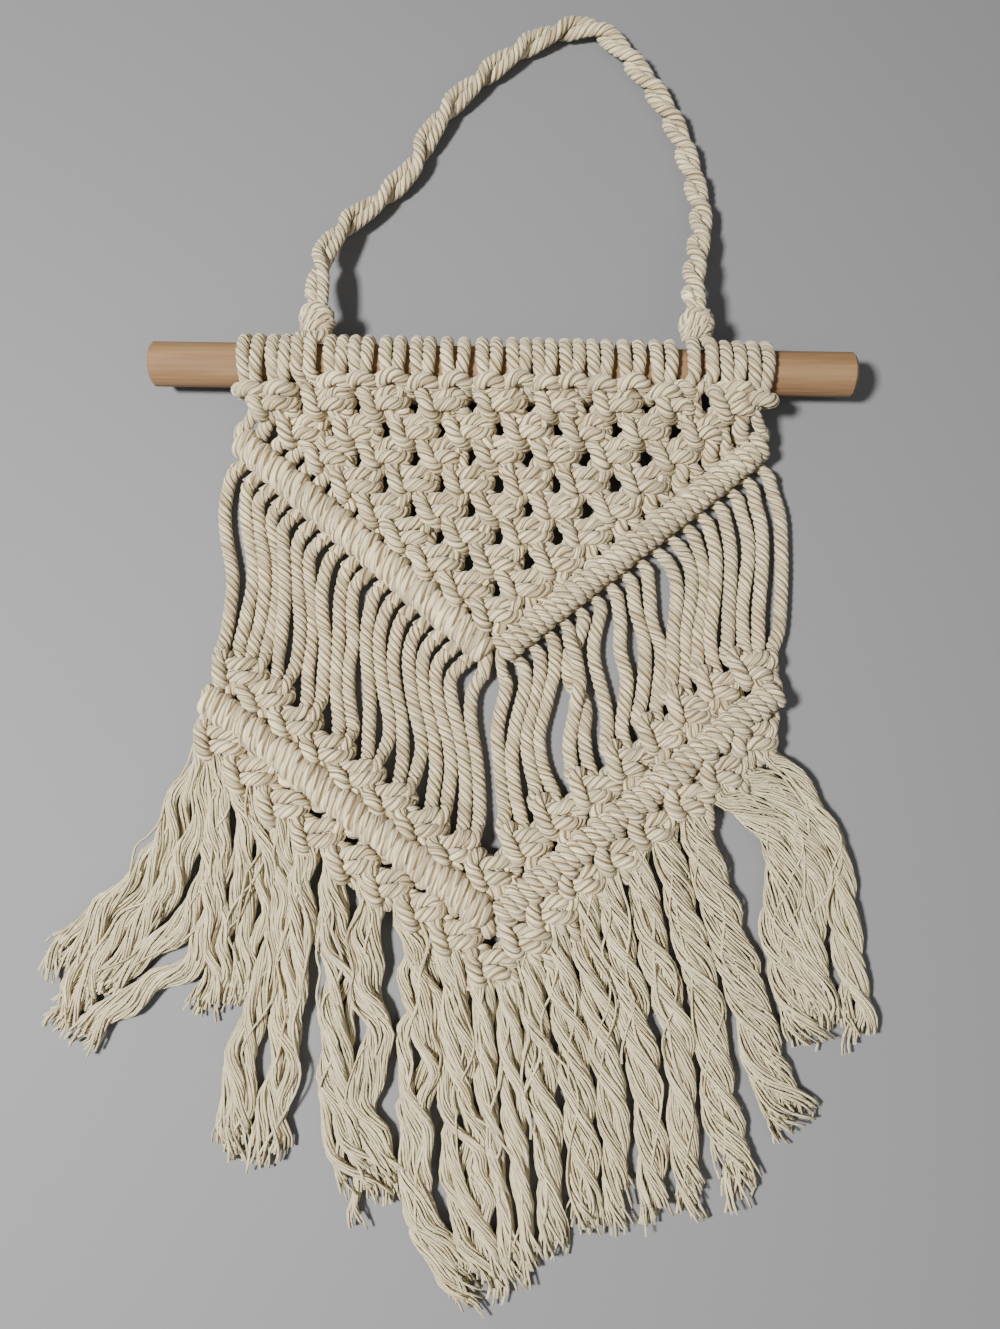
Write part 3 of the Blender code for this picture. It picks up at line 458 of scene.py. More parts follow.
def net_threads(rng):
    """The strands from the rod to the upper ridge."""
    threads = [Thread() for _ in range(STRANDS)]
    count = len(NET_ROWS)
    add_heading(threads)
    for row, (y, height, first_x, middle_x, last_x) in enumerate(NET_ROWS):
        for index in range(count - row):
            place = 2.0 * index / max(count - row - 1, 1) - 1.0
            x = middle_x + place * (last_x - first_x) / 2 + place ** 2 * ((first_x + last_x) / 2 - middle_x)
            centre = tuple(value + rng.uniform(-most, most) for value, most in zip((x, y), KNOT_MOVES))
            turn, size = rng.uniform(-KNOT_TURNS, KNOT_TURNS), rng.uniform(1 - KNOT_SIZES, 1 + KNOT_SIZES)
            for position in range(4):
                strand = 2 * row + 4 * index + position
                threads[strand].add(knot(centre, height, position, turn, size), KNOTTED, NET)
    Ridge(UPPER_RIDGE).lead_in(threads, NET_TO_RIDGE, JOINING, NET)
    return threads


def add_heading(threads):
    """Lark's heads on the rod, and the hanger's tails: the first stretch of every strand."""
    reach = ROD_RADIUS + FREE
    wrapped = FREE * WRAP_SHARE
    for pair, (left, right, bar) in enumerate(PAIRS):
        middle = (left + right) / 2
        for side, x in ((-1, left), (1, right)):
            thread = threads[2 * pair + (side > 0)]
            if pair in TAIL_PAIRS:
                knot_x, knot_y, height = HANGER_KNOTS[TAIL_PAIRS.index(pair)][1:4]
                thread.add([(knot_x + side * out, knot_y - down, height + up) for out, down, up in TAIL_START]
                           + [round_rod(x, turn, radius) for turn, radius in TAIL_ARC], wrapped, HEADING)
                continue
            # out of the front bar, under the rod, up behind it, over its top and down under the bar
            thread.add([round_rod(middle + side * out, bar + turn, radius)
                        for out, turn, radius in (BAR_SPAN if side > 0 else ()) + BAR_END],
                       FREE * BAR_SHARE, HEADING)
            thread.add([round_rod(x, turn, reach + WRAP_PRESSED * min(math.sin(math.radians(turn)), 0.0))
                        for turn in WRAP_BEHIND], wrapped, HEADING)
            inwards = (middle - x) * WRAP_LEAN
            thread.add([round_rod(x + leans * inwards, 360 + bar * share + past, reach - closer)
                        for leans, share, past, closer in WRAP_FRONT], wrapped, HEADING)


def round_rod(x, degrees, radius):
    angle = math.radians(degrees)
    return x, rod_y(x) - radius * math.sin(angle), ROD_HEIGHT + radius * math.cos(angle)


def band_knots(threads, knots, label, rng):
    """A line of square knots. From each end to the tip, a knot takes two strands from the one before it."""
    arm = len(knots) // 2
    steps = [(index, 2 * index) for index in range(arm)]
    steps += [(len(knots) - 1 - index, STRANDS - 4 - 2 * index) for index in range(arm)]
    steps.append((arm, 2 * arm))
    for index, first in steps:
        x, y = knots[index]
        turn, size = rng.uniform(-BAND_TURNS, BAND_TURNS), rng.uniform(*BAND_SIZES)
        for position in range(4):
            threads[first + position].add(knot((x, y), BAND_HEIGHT, position, turn, size), BANDED, label)


def hitched_threads(carriers, ridge, label):
    """Strands from left to right as they leave a ridge, the two carriers in the middle."""
    threads = []
    for side, carrier in zip((-1, 1), carriers):
        path = np.array(HITCH_PATH)
        if side > 0:
            path[:-2, 1:] *= RIGHT_HITCH_SIZE
        hitched = [Thread() for _ in range(HITCHES)]
        for hitch, thread in enumerate(hitched):
            thread.add(ridge.at_hitch(side, hitch, path), HITCHED, label)
        carrier.add(np.vstack([ridge.place(side, share, (0.0, 0.0, 0.0)) for share in CARRIER_SHARES]),
                    HITCHED, label)
        carrier.add([(ridge.tip[0] + side * out, ridge.tip[1] + along, ridge.height + up)
                     for out, along, up in CARRIER_END], HITCHED, label)
        threads.append([*hitched, carrier])
    return [*threads[0], *threads[1][::-1]]


def add_curtain(threads):
    """The free cords between the ridges: out from under the hitches, then down to the knots."""
    for strand, thread in enumerate(threads):
        head = np.array(thread.rows[-1][:3])
        left = strand < STRANDS // 2
        from_side = strand if left else STRANDS - 1 - strand
        place = max(from_side // 2 - 1, 0)
        knot_x, knot_y = BAND_ABOVE[place if left else len(BAND_ABOVE) - 1 - place]
        inwards = 1 if left else -1
        offset = STRAND_OFFSETS[from_side if from_side < 4 else 2 + from_side % 2]
        foot = np.array([knot_x + inwards * offset, knot_y + KNOT_HALF_HEIGHT + CURTAIN_FOOT[0],
                         BAND_HEIGHT - CURTAIN_FOOT[1]])
        thread.add(head + CURTAIN_START * (inwards, 1, 1), FREE, CURTAIN)
        for share, bow in zip(CURTAIN_SHARES, (LEFT_BOWS if left else RIGHT_BOWS)[from_side]):
            point = head + (foot - head) * share
            point[0] += bow / 2
            point[2] = CURTAIN_HEIGHTS[strand % len(CURTAIN_HEIGHTS)]
            thread.add(point, FREE, CURTAIN)
        thread.add(foot, FREE, CURTAIN)


@functools.cache
def work(rounds, seed):
    """Every strand's settled path, with its labels: (path, labels) of the whole knotted work."""
    rng = np.random.default_rng(seed)
    upper, lower = Ridge(UPPER_RIDGE), Ridge(LOWER_RIDGE)
    net = net_threads(rng)
    middle = hitched_threads((net[0], net[-1]), upper, RIDGE_UPPER)
    add_curtain(middle)
    band_knots(middle, BAND_ABOVE, ABOVE, rng)
    lower.lead_in(middle, BAND_TO_RIDGE, (BANDED, BANDED), ABOVE)
    last = hitched_threads((middle[0], middle[-1]), lower, RIDGE_LOWER)
    band_knots(last, BAND_BELOW, BELOW, rng)
    for thread in last:
        x, y, z, *_ = thread.rows[-1]
        thread.add([(x, y - STUB_STEP[0], z - STUB_STEP[1]), (x, y - STUB_END, STUB_HEIGHT)], BANDED, BELOW)
    threads = list({id(thread): thread for thread in (*net, *middle, *last)}.values())
    paths = [catmull(thread.rows, POINT_STEP) for thread in threads]
    holds = [np.array(HOLDS)[thread.label_of(path)] for thread, path in zip(threads, paths)]
    paths = settle(paths, holds, rounds)
    return [(path, thread.label_of(path)) for path, thread in zip(paths, threads)]


# Meshes

UNTWISTED = 1e9                 # length of one turn of a cord whose section never turns
PLIES = 4
SECTION = 12                    # points round a cord, three to a ply, the first in the groove
FINE = 4                        # points of its curve between two points of a path
# Reach of a ply's three points, as a share of the cord's radius
PLY_SHARE = (0.80, 1.0, 1.0)
SOFT_PLY_SHARE = (0.83, 1.0, 1.0)
FLAT_PLY_SHARE = (0.94, 1.0, 1.0)
LEAD_VARIES = (0.92, 1.08)      # from strand to strand
# How cords are drawn: share of their radius, shape of their section, and how slowly their plies turn
Look = collections.namedtuple("Look", "swell shares slow", defaults=(1.0,))
ROUND, TIED, LUMPY = Look(1.03, PLY_SHARE), Look(1.06, SOFT_PLY_SHARE), Look(1.0, SOFT_PLY_SHARE)
FLAT = Look(1.22, FLAT_PLY_SHARE, 2.2)
HANGING = Look(0.99, PLY_SHARE), Look(1.02, PLY_SHARE)


def frames_along(points):
    """Unit tangents, and normals carried along the line without turning about it."""
    tangents = np.gradient(points, axis=0)
    tangents /= np.maximum(np.linalg.norm(tangents, axis=1, keepdims=True), 1e-9)
    first = np.cross(tangents[0], (0.0, 0.0, 1.0))
    if np.linalg.norm(first) < 0.1:
        first = np.cross(tangents[0], (0.0, 1.0, 0.0))
    normal = first / np.linalg.norm(first)
    normals = np.empty_like(points)
    for index, tangent in enumerate(tangents):
        normal = normal - tangent * float(normal @ tangent)
        normal = normal / math.sqrt(float(normal @ normal))
        normals[index] = normal
    return tangents, normals


class Tubes:
    """Gathers swept cords and makes one mesh of them."""

    def __init__(self):
        self.points, self.quads, self.uvs, self.tints, self.caps = [], [], [], [], []
        self.count = 0

    def sweep(self, path, radius, lead, phase, tint, section=SECTION, shares=PLY_SHARE, run=0.0, frames=None):
        """Adds one cord along a path in mm, its plies turning once in every lead.

        Run is how far along the whole cord the path starts."""
        tangents, normals = frames if frames is not None else frames_along(path)
        steps = np.concatenate([[0.0], np.cumsum(np.linalg.norm(np.diff(path, axis=0), axis=1))]) + run
        turn = phase - 2 * math.pi * steps / lead
        sides = np.cross(tangents, normals)
        around = np.arange(section) * 2 * math.pi / section
        share = np.resize(shares, section)
        angle = around[None, :] + turn[:, None]
        reach = (np.broadcast_to(radius, len(path))[:, None] * share[None, :])
        ring = (path[:, None, :] + (reach * np.cos(angle))[..., None] * normals[:, None, :]
                + (reach * np.sin(angle))[..., None] * sides[:, None, :])
        rings = len(path)
        base = self.count
        i, k = np.meshgrid(np.arange(rings - 1), np.arange(section), indexing="ij")
        nxt = (k + 1) % section
        here, ahead = i * section, (i + 1) * section
        quads = np.stack([here + k, here + nxt, ahead + nxt, ahead + k], -1)
        self.quads.append(base + quads.reshape(-1, 4))
        u = np.stack([k, k + 1, k + 1, k], -1) * (PLIES / section)
        v = np.stack([steps[i], steps[i], steps[i + 1], steps[i + 1]], -1) * 0.1
        self.uvs.append(np.stack([u, v], -1).reshape(-1, 2))
        self.points.append(ring.reshape(-1, 3))
        self.tints.append(np.full(rings * section, tint))
        self.caps += [base + np.arange(section)[::-1], base + (rings - 1) * section + np.arange(section)]
        self.count += rings * section

    def build(self, name, material):
        points = in_frame(np.vstack(self.points))
        quads = np.vstack(self.quads)
        sizes = [4] * len(quads) + [len(cap) for cap in self.caps]
        loops = np.concatenate([quads.reshape(-1), *self.caps])
        mesh = bpy.data.meshes.new(name)
        mesh.vertices.add(len(points))
        mesh.vertices.foreach_set("co", points.astype(np.float32).reshape(-1))
        mesh.loops.add(len(loops))
        mesh.loops.foreach_set("vertex_index", loops.astype(np.int32))
        mesh.polygons.add(len(sizes))
        starts = np.concatenate([[0], np.cumsum(sizes)[:-1]])
        mesh.polygons.foreach_set("loop_start", starts.astype(np.int32))
        mesh.update(calc_edges=True)
        layer = mesh.uv_layers.new(name="along")
        uvs = np.vstack([*self.uvs, np.full((len(loops) - 4 * len(quads), 2), 0.5)])
        layer.data.foreach_set("uv", uvs.astype(np.float32).reshape(-1))
        tint = mesh.attributes.new("tint", "FLOAT", "POINT")
        tint.data.foreach_set("value", np.concatenate(self.tints).astype(np.float32))
        mesh.shade_smooth()
        mesh.materials.append(material)
        mesh.validate()
        obj = bpy.data.objects.new(name, mesh)
        bpy.context.scene.collection.objects.link(obj)
        return obj


# Materials

class Nodes:
    """Lays shader nodes in one tree. An input takes a number, a colour or another node's output."""

    def __init__(self, tree):
        self.tree = tree

    def feed(self, inputs, values):
        for key, value in values:
            socket = inputs[key]
            if isinstance(value, bpy.types.NodeSocket):
                self.tree.links.new(value, socket)
            else:
                socket.default_value = (*value, 1.0) if socket.type == "RGBA" else value

    def new(self, kind, values=(), **settings):
        """Outputs of a new node."""
        made = self.tree.nodes.new(kind)
        for key, value in settings.items():
            setattr(made, key, value)
        self.feed(made.inputs, values)
        return made.outputs

    def maths(self, operation, *values, clamp=False):
        return self.new("ShaderNodeMath", enumerate(values), operation=operation, use_clamp=clamp)[0]

    def times(self, first, second):
        return self.maths("MULTIPLY", first, second)

    def plus(self, first, second, clamp=False):
        return self.maths("ADD", first, second, clamp=clamp)

    def minus(self, first, second):
        return self.maths("SUBTRACT", first, second)

    def spread(self, value, low, high, to_low=0.0, to_high=1.0):
        keys = ("Value", "From Min", "From Max", "To Min", "To Max")
        return self.new("ShaderNodeMapRange", zip(keys, (value, low, high, to_low, to_high)))["Result"]

    def mix(self, share, first, second):
        return self.new("ShaderNodeMix", ((0, share), (6, first), (7, second)), data_type="RGBA")[2]

    def noise(self, vector, scale, detail=2.0, roughness=0.5, distortion=0.0):
        keys = ("Vector", "Scale", "Detail", "Roughness", "Distortion")
        values = (vector, scale, detail, roughness, distortion)
        return self.new("ShaderNodeTexNoise", zip(keys, values))["Fac"]

    def vector(self, *values):
        return self.new("ShaderNodeCombineXYZ", enumerate(values))[0]

    def parts(self, vector):
        return self.new("ShaderNodeSeparateXYZ", ((0, vector),))

    def place(self):
        return self.new("ShaderNodeTexCoord")["Object"]

    def bump(self, height, strength, distance):
        keys = ("Height", "Strength", "Distance")
        return self.new("ShaderNodeBump", zip(keys, (height, strength, distance)))[0]


def ply_group():
    """Groove between plies and the yarns' lines on them, from u round the cord (one a ply) and v along it."""
    name = "cord_plies"
    if name in bpy.data.node_groups:
        return bpy.data.node_groups[name]
    tree = bpy.data.node_groups.new(name, "ShaderNodeTree")
    for key, way, kind in (("Place", "INPUT", "Vector"), ("Cord", "INPUT", "Float"),
                           ("Groove", "OUTPUT", "Float"), ("Yarns", "OUTPUT", "Float"),
                           ("Fibres", "OUTPUT", "Float")):
        tree.interface.new_socket(key, in_out=way, socket_type="NodeSocket" + kind)
    nodes = Nodes(tree)
    given = nodes.new("NodeGroupInput")
    cord = given["Cord"]
    u, v, _ = nodes.parts(given["Place"])
    wander = nodes.noise(nodes.vector(nodes.times(u, 1.5), nodes.times(v, 3.0), cord), 1.0)
    slanted = nodes.plus(nodes.plus(nodes.times(u, 2.2), nodes.times(v, 1.2)), nodes.times(wander, 0.5))
    yarns = nodes.noise(nodes.vector(slanted, nodes.times(v, 0.5), cord), 1.7, 0.0)
    fibres = nodes.noise(nodes.vector(nodes.times(slanted, 3.4), nodes.times(v, 1.6), cord), 1.7, 2.0, 0.6)
    nodes.feed(tree.nodes.new("NodeGroupOutput").inputs, (
        ("Groove", nodes.spread(nodes.maths("PINGPONG", u, 0.5), 0.19, 0.0)),
        ("Yarns", nodes.spread(yarns, 0.34, 0.6)), ("Fibres", nodes.spread(fibres, 0.3, 0.7))))
    return tree


def new_material(name):
    """A material, what lays its nodes, and its shader's inputs."""
    material = bpy.data.materials.new(name)
    material.use_nodes = True
    tree = material.node_tree
    return material, Nodes(tree), tree.nodes["Principled BSDF"].inputs


def cotton(name, light, shade, groove_depth=1.0, yarn_depth=0.7):
    """Cotton cord or yarn: lighter on its crests, with painted shade in its grooves and in the dark lines
    between its yarns along the fibres.
    """
    if name in bpy.data.materials:
        return bpy.data.materials[name]
    material, nodes, shader = new_material(name)
    tint = nodes.new("ShaderNodeAttribute", attribute_name="tint")["Fac"]
    along = nodes.new("ShaderNodeUVMap", uv_map="along")[0]
    groove, yarns, fibres = nodes.new("ShaderNodeGroup", node_tree=ply_group(),
                                      values=(("Place", along), ("Cord", nodes.times(tint, 37.0))))
    # Painted shade: the shade colour is laid into the grooves between plies and into dark lines between the
    # yarns, where shade falls
    lines = nodes.times(nodes.minus(1.0, yarns), 0.62)
    painted_shade_share = nodes.plus(nodes.times(groove, 0.95 * groove_depth), lines, clamp=True)
    cloudy = nodes.noise(nodes.place(), 45.0, 3.0)
    fleck = nodes.plus(nodes.times(fibres, 0.22), nodes.times(cloudy, 0.12))
    level = nodes.spread(nodes.plus(nodes.times(tint, 0.10), fleck), 0.06, 0.38, 0.76, 1.12)
    relief = nodes.plus(nodes.times(yarns, yarn_depth), nodes.times(fibres, 0.35))
    relief = nodes.minus(relief, nodes.times(groove, 0.6 * groove_depth))
    nodes.feed(shader, (
        ("Base Color", nodes.new("ShaderNodeHueSaturation", (("Color", nodes.mix(painted_shade_share, light, shade)),
                                                             ("Value", level)))[0]),
        ("Roughness", 0.88), ("Specular IOR Level", 0.18), ("Sheen Weight", 0.25), ("Sheen Roughness", 0.5),
        ("Normal", nodes.bump(relief, 0.85, 0.0005))))
    return material


def cord_material():
    # The second colour is painted shade for the ply grooves and the lines between yarns
    return cotton("cotton_cord_finish", (0.83, 0.705, 0.445), (0.21, 0.14, 0.062))


def fringe_material():
    # The second colour is painted shade for the grooves and the lines between yarns
    return cotton("cotton_fringe_finish", (1.0, 0.88, 0.55), (0.64, 0.47, 0.24), 0.35, 0.4)


def beech():
    material, nodes, shader = new_material("beech_finish")
    x, y, z = nodes.parts(nodes.place())
    rings = nodes.noise(nodes.vector(nodes.times(x, 0.06), y, z), 260.0, 3.0, 0.55, 0.6)
    rays = nodes.noise(nodes.vector(nodes.times(x, 0.16), y, z), 1500.0)
    flecks = nodes.spread(rays, 0.62, 0.72)
    base = nodes.mix(nodes.spread(rings, 0.3, 0.7), (0.27, 0.162, 0.077), (0.18, 0.098, 0.043))
    nodes.feed(shader, (
        ("Base Color", nodes.mix(nodes.times(flecks, 0.6), base, (0.24, 0.14, 0.07))),
        ("Roughness", nodes.spread(rings, 0.3, 0.7, 0.58, 0.7)), ("Specular IOR Level", 0.25),
        ("Normal", nodes.bump(nodes.minus(rings, flecks), 0.35, 0.0002))))
    return material


def floor_material():
    material, nodes, shader = new_material("pale_floor")
    nodes.feed(shader, (("Base Color", (0.176, 0.1745, 0.1765)), ("Roughness", 0.7)))
    return material


# Fringe

def bundle_line(root, stations):
    """Middle line of one bundle with its half width, and unit vectors across it, in plan."""
    x, y, half = root
    route = [(x, y + along, height, half * share) for along, height, share in BUNDLE_ROOT]
    for index, (px, py, width) in enumerate(stations):
        route.append((px, py, BUNDLE_HEIGHT - BUNDLE_FALL * index, width * BUNDLE_SHARES[index]))
    before, tip = np.array(route[-2]), np.array(route[-1])
    reach = TIP_REACH[x > LONG_FROM] / np.linalg.norm(tip[:2] - before[:2])
    route.append(tuple(tip + (tip - before) * (reach, reach, 0.0, 0.0)))
    middle = catmull(route, YARN_STEP)
    tangents = np.gradient(middle[:, :3], axis=0)
    tangents[:, 2] = 0.0
    tangents /= np.linalg.norm(tangents, axis=1, keepdims=True)
    across = np.column_stack([tangents[:, 1], -tangents[:, 0], np.zeros(len(middle))])
    return middle, across


def wave(rng, steps, shortest, longest):
    return np.sin(2 * math.pi * (steps / rng.uniform(shortest, longest) + rng.uniform()))


def bundle_yarns(rng, root, stations):
    """Paths of one bundle's yarns. Its plies wind about its middle line, and yarns wind round each ply."""
    middle, across = bundle_line(root, stations)
    line, width = middle[:, :3].copy(), middle[:, 3]
    steps = np.arange(len(middle)) * YARN_STEP
    length = steps[-1]
    up = np.array([0.0, 0.0, 1.0])
    lie = TIGHT if root[0] > TWISTED_FROM else LOOSE
    tall = np.interp(steps, (0.0, 30.0, length), (3.7, 3.4, 2.1))       # half height
    bundle_turn = rng.uniform(*lie.turn)
    crimp = np.interp(steps, (0.0, 12.0, length), (0.1, 1.0, 0.6)) * lie.crimp
    kink = 2 * math.pi * (steps / rng.uniform(17.0, 23.0) + rng.uniform())
    line += across * (crimp * np.sin(kink))[:, None] + up * (0.4 * crimp * np.cos(kink))[:, None]
    plies = int(np.clip(round(width.mean() * lie.plies), 3, 6))
    inner_count = lie.yarns // 4
    outer_count = lie.yarns - inner_count
    start = rng.uniform(0.0, 2 * math.pi)
    for ply_index in range(plies):
        size = 0.42 * width.mean() + 0.25 if lie is TIGHT else rng.uniform(1.6, 2.2)
        size *= rng.uniform(0.94, 1.06)
        winding = start + 2 * math.pi * ((ply_index + rng.uniform(-0.12, 0.12)) / plies + steps / bundle_turn)
        slow = lie.stray * wave(rng, steps, 34, 70)
        offset = np.clip(np.cos(winding) + slow + 0.4 * lie.stray * wave(rng, steps, 14, 24), -1.1, 1.1)
        lift = np.clip(np.sin(winding) + lie.stray * wave(rng, steps, 30, 60), -1.1, 1.1)
        ply = (line + across * (offset * np.maximum(width - size, 0.4))[:, None]
               + up * (lift * np.maximum(tall - 0.75 * size, 0.5))[:, None])
        ply_end = length * rng.uniform(0.90, 1.0)
        yarn_turn = rng.uniform(42, 56)
        for yarn in range(lie.yarns):
            inner = yarn >= outer_count
            turn = 2 * math.pi * ((yarn + rng.uniform(-0.25, 0.25)) / (inner_count if inner else outer_count)
                                  + steps / yarn_turn)
            away = (0.4 if inner else rng.uniform(0.82, 1.0)) * (size - YARN_RADIUS * 0.6)
            path = (ply + across * (1.12 * np.cos(turn) * away + 0.16 * wave(rng, steps, 9, 16))[:, None]
                    + up * (0.85 * np.sin(turn) * away)[:, None])
            end = ply_end * rng.uniform(0.95, 1.03) - rng.uniform(0.0, 2.0)
            loose = np.clip((steps - (end - BRUSH)) / BRUSH, 0.0, 1.2)
            path += across * (loose ** 2 * rng.normal(0.0, 1.6))[:, None]
            path[:, 2] += loose ** 2 * rng.uniform(-1.0, 1.2)
            path = path[steps <= end]
            path[:, 2] = np.maximum(path[:, 2], YARN_RADIUS)
            yield path
    for _ in range(LOOSE_YARNS):
        offset = rng.uniform(-0.8, 0.8) + 0.5 * wave(rng, steps, 30, 60)
        bulge = np.sin(math.pi * np.clip((steps - rng.uniform(0.15, 0.5) * length) / 22.0, 0.0, 1.0))
        path = line + across * (offset * width + rng.choice((-1.0, 1.0)) * 3.2 * bulge)[:, None]
        path[:, 2] += tall * 0.8
        yield path[steps <= length * rng.uniform(0.5, 0.97)]


# Operators

def dress(obj, slot, *nodes):
    """Rides a piece on the body in place of CAD nodes."""
    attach(obj, "root")
    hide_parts(*nodes)


def hanger_knot(place, half, rise):
    """Paths of a hanger's knot: a cord wound round the rope in slanting turns, an end tucked across it, and
    the rope's two cords above."""
    x, y, height = place
    across, along, up = (size - ROPE_STRAND_RADIUS * 0.9 for size in half)
    angle = np.linspace(-KNOT_WIND_ENDS, 2 * math.pi * KNOT_WINDS + KNOT_WIND_ENDS, 64)
    share = np.linspace(1.0, -1.0, len(angle))
    front = (np.cos(angle) + 1) / 2
    swell = np.sqrt(np.clip(1.0 - KNOT_TAPER * share ** 2, 0.0, 1.0))
    side = across * np.sin(angle) * swell
    turns = np.column_stack([x + side, y + along * share + front * (rise * side - KNOT_BOW * side ** 2),
                             height + up * np.cos(angle) * swell])
    tuck = np.array([(-across * 0.9, -along * 0.2, -up), (-across * 1.05, along * 0.5, 0.2),
                     (-across * 0.5, along * 1.05, up * 0.8), (across * 0.3, along * 0.85, up * 0.95),
                     (across * 0.95, along * 0.2, up * 0.5), (across * 0.9, -along * 0.4, -up * 0.4)])
    necks = [np.array([(x + side * out, y + above, height) for out, above in KNOT_NECK]) for side in (-1, 1)]
    return [turns, tuck + (x, y, height), *necks]


def piece_of(name, label, settings, left, right):
    """One piece of the knotted work: the stretches of every strand that carry its label, each half with its
    own look."""
    tubes = Tubes()
    rng = np.random.default_rng(settings.seed + WORK_SEED)
    for index, (path, kinds) in enumerate(work(settings.rounds, settings.seed)):
        lead = settings.ply_lead / MM * rng.uniform(*LEAD_VARIES)
        phase, tint = rng.uniform(0, 2 * math.pi), rng.uniform(0, 1)
        fine = catmull(np.column_stack([path[:, :4], np.arange(len(path))]), settings.ring_step / MM, FINE)
        chosen = kinds[np.clip(np.round(fine[:, 4]).astype(int), 0, len(kinds) - 1)] == label
        if not chosen.any():
            continue
        frames = frames_along(fine[:, :3])
        step = float(np.linalg.norm(fine[1, :3] - fine[0, :3]))
        edges = np.flatnonzero(np.diff(np.concatenate([[0], chosen.astype(int), [0]])))
        for start, stop in zip(edges[::2], edges[1::2]):
            stop = min(stop + 1, len(fine))
            if stop - start < 3:
                continue
            part = slice(start, stop)
            look = left if fine[part, 0].mean() < UPPER_RIDGE[1][0] else right
            tubes.sweep(fine[part, :3], fine[part, 3] * look.swell, lead * look.slow, phase, tint,
                        shares=look.shares, run=start * step, frames=(frames[0][part], frames[1][part]))
    return tubes.build(name, cord_material())


class HangingSettings(bpy.types.PropertyGroup):
    seed: bpy.props.IntProperty(name="Seed", description="Seed of every small irregularity", default=5)
    rounds: bpy.props.IntProperty(
        name="Rounds", description="Rounds of settling the cords against each other", default=60)
    ply_lead: bpy.props.FloatProperty(
        name="Ply lead", description="Length in which a ply turns once round its cord", default=0.0102,
        unit="LENGTH")
    ring_step: bpy.props.FloatProperty(
        name="Ring step", description="Distance between a cord's rings", default=0.00095, unit="LENGTH")


class HANGING_OT_camera(bpy.types.Operator):
    """Camera looking down at the hanging from its fringe end"""
    bl_idname = "hanging.camera"
    bl_label = "Camera"

    def execute(self, context):
        data = bpy.data.cameras.new("camera")
        data.sensor_fit = "VERTICAL"
        data.sensor_height = SENSOR_HEIGHT
        data.lens = SENSOR_HEIGHT * FOCAL_SHARE
        data.clip_start = 0.01
        obj = bpy.data.objects.new("camera", data)
        obj.location = in_frame([CAMERA_PLACE])[0]
        obj.rotation_euler = (math.radians(CAMERA_TILT), 0.0, 0.0)
        context.scene.collection.objects.link(obj)
        context.scene.camera = obj
        return {"FINISHED"}


class HANGING_OT_hanger(bpy.types.Operator):
    """The hanger: two cords twisted into one rope"""
    bl_idname = "hanging.hanger"
    bl_label = "Hanger"

    def execute(self, context):
        settings = context.scene.hanging
        rng = np.random.default_rng(settings.seed + HANGER_SEED)
        middle = catmull(ROPE_ROUTE, 1.0)
        tangents, normals = frames_along(middle)
        sides = np.cross(tangents, normals)
        steps = np.arange(len(middle)) * float(np.linalg.norm(middle[1] - middle[0]))
        turn = np.interp(steps / steps[-1], np.linspace(0.0, 1.0, len(ROPE_TURNS)), ROPE_TURNS)
        twist = -2 * math.pi * np.cumsum(np.gradient(steps) / turn)
        tubes = Tubes()
        for half in (0.0, math.pi):
            angle = twist + half + ROPE_START
            angle -= ROPE_DWELL * np.sin(2 * angle)
            around = np.cos(angle)[:, None] * normals + np.sin(angle)[:, None] * sides
            line = middle + (ROPE_STRAND_RADIUS * ROPE_SPREAD) * around
            line[:, 2] = np.maximum(line[:, 2], ROPE_STRAND_RADIUS * ROPE_PRESSED)
            tubes.sweep(catmull(line, settings.ring_step / MM, FINE), ROPE_STRAND_RADIUS,
                        settings.ply_lead / MM * ROPE_PLY_LEAD, rng.uniform(0, 6), rng.uniform(0, 1))
        obj = tubes.build("hanger_cord", cord_material())
        dress(obj, "cord", "hanger_rope")
        centre = in_frame(middle)
        tuple(centre[0])
        [tuple(p) for p in centre[::2]]
        for name, x, y, height, half, rise in HANGER_KNOTS:
            tubes = Tubes()
            for path in hanger_knot((x, y, height), half, rise):
                tubes.sweep(catmull(path, settings.ring_step / MM, FINE), ROPE_STRAND_RADIUS * KNOT_CORD,
                            settings.ply_lead / MM, rng.uniform(0, 6), rng.uniform(0, 1))
            dress(tubes.build(name.replace("knot", "overhand"), cord_material()), "cord", name)
        return {"FINISHED"}


class HANGING_OT_rod(bpy.types.Operator):
    """Beech finish on the rod"""
    bl_idname = "hanging.rod"
    bl_label = "Rod"

    def execute(self, context):
        bpy.data.objects["rod"].material_slots[0].material = beech()
        return {"FINISHED"}


class HANGING_OT_work(bpy.types.Operator):
    """The knotted work: heading, net, ridges, curtain and bands"""
    bl_idname = "hanging.work"
    bl_label = "Knotted work"

    def execute(self, context):
        settings = context.scene.hanging
        loops = [f"larks_head_{index + 1:02d}" for index in range(len(PAIRS)) if index not in TAIL_PAIRS]
        tails = [f"hanger_tail_{side}_{number}" for side in ("left", "right") for number in (1, 2)]
        for name, label, nodes, left, right in (
                ("heading", HEADING, (*loops, *tails), ROUND, ROUND),
                ("knotted_net", NET, ("net",), TIED, TIED),
                ("upper_ridge", RIDGE_UPPER, ("ridge_upper",), FLAT, LUMPY),
                ("free_cords", CURTAIN, ("curtain",), *HANGING),
                ("upper_band", ABOVE, ("band_above",), TIED, TIED),
                ("lower_ridge", RIDGE_LOWER, ("ridge_lower",), FLAT, LUMPY),
                ("lower_band", BELOW, ("band_below",), TIED, TIED)):
            dress(piece_of(name, label, settings, left, right), "cord", *nodes)
        return {"FINISHED"}


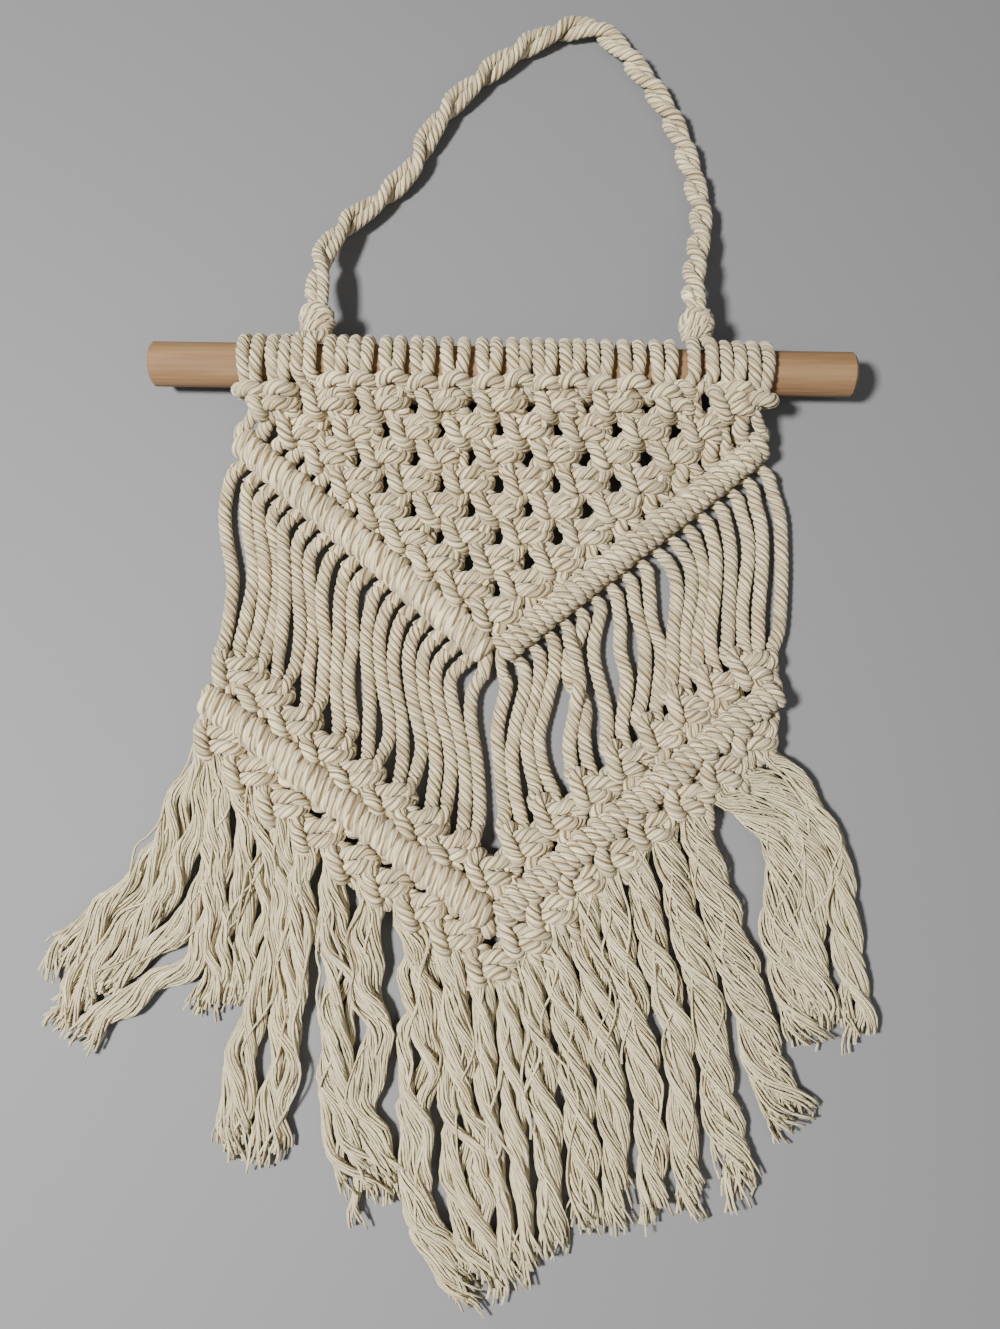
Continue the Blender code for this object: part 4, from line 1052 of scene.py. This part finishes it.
class HANGING_OT_fringe(bpy.types.Operator):
    """The unravelled ends of every strand"""
    bl_idname = "hanging.fringe"
    bl_label = "Fringe"

    def execute(self, context):
        rng = np.random.default_rng(context.scene.hanging.seed + FRINGE_SEED)
        for name, bundles in (("fringe_left", FRINGE[:8]), ("fringe_middle", FRINGE[8:14]),
                              ("fringe_right", FRINGE[14:])):
            tubes = Tubes()
            for *root, stations in bundles:
                for path in bundle_yarns(rng, root, stations):
                    if len(path) > 3:
                        tubes.sweep(path, YARN_RADIUS * rng.uniform(*YARN_VARIES), UNTWISTED,
                                    rng.uniform(0, 6.3), rng.uniform(0, 1), YARN_SIDES, (1.0,))
            dress(tubes.build(name, fringe_material()), "fringe", "fringe")
        return {"FINISHED"}


class HANGING_OT_stage(bpy.types.Operator):
    """Pale floor and soft studio lights"""
    bl_idname = "hanging.stage"
    bl_label = "Stage"

    def execute(self, context):
        mesh = bpy.data.meshes.new("floor")
        corners = [(x * FLOOR_HALF, y * FLOOR_HALF, 0) for x, y in ((-1, -1), (1, -1), (1, 1), (-1, 1))]
        mesh.from_pydata(corners, [], [(0, 1, 2, 3)])
        mesh.materials.append(floor_material())
        floor = bpy.data.objects.new("floor", mesh)
        floor.location.z = FLOOR_Z
        context.scene.collection.objects.link(floor)
        world = bpy.data.worlds.new("studio")
        world.use_nodes = True
        colour, strength, *_ = world.node_tree.nodes["Background"].inputs
        colour.default_value, strength.default_value = WORLD_COLOUR, WORLD_STRENGTH
        context.scene.world = world
        for name, place, size, power in LIGHTS:
            data = bpy.data.lights.new(name, "AREA")
            data.size, data.energy = size, power
            obj = bpy.data.objects.new(name, data)
            obj.location = place
            obj.rotation_euler = (Vector(AIM) - Vector(place)).to_track_quat("-Z", "Y").to_euler()
            context.scene.collection.objects.link(obj)
        return {"FINISHED"}


OPERATORS = (HANGING_OT_camera, HANGING_OT_hanger, HANGING_OT_rod, HANGING_OT_work, HANGING_OT_fringe,
             HANGING_OT_stage)


class HANGING_PT_panel(bpy.types.Panel):
    bl_idname = "HANGING_PT_panel"
    bl_label = "Hanging"
    bl_space_type = "VIEW_3D"
    bl_region_type = "UI"
    bl_category = "Hanging"

    def draw(self, context):
        for key in ("seed", "rounds", "ply_lead", "ring_step"):
            self.layout.prop(context.scene.hanging, key)
        for operator in OPERATORS:
            self.layout.operator(operator.bl_idname)


def register():
    for made in (HangingSettings, *OPERATORS, HANGING_PT_panel):
        bpy.utils.register_class(made)
    bpy.types.Scene.hanging = bpy.props.PointerProperty(type=HangingSettings)


def unregister():
    del bpy.types.Scene.hanging
    for made in (HANGING_PT_panel, *reversed(OPERATORS), HangingSettings):
        bpy.utils.unregister_class(made)


def main():
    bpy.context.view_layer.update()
    register()
    for name in ("camera", "hanger", "rod", "work", "fringe", "stage"):
        getattr(bpy.ops.hanging, name)()


if __name__ == "__main__":
    main()
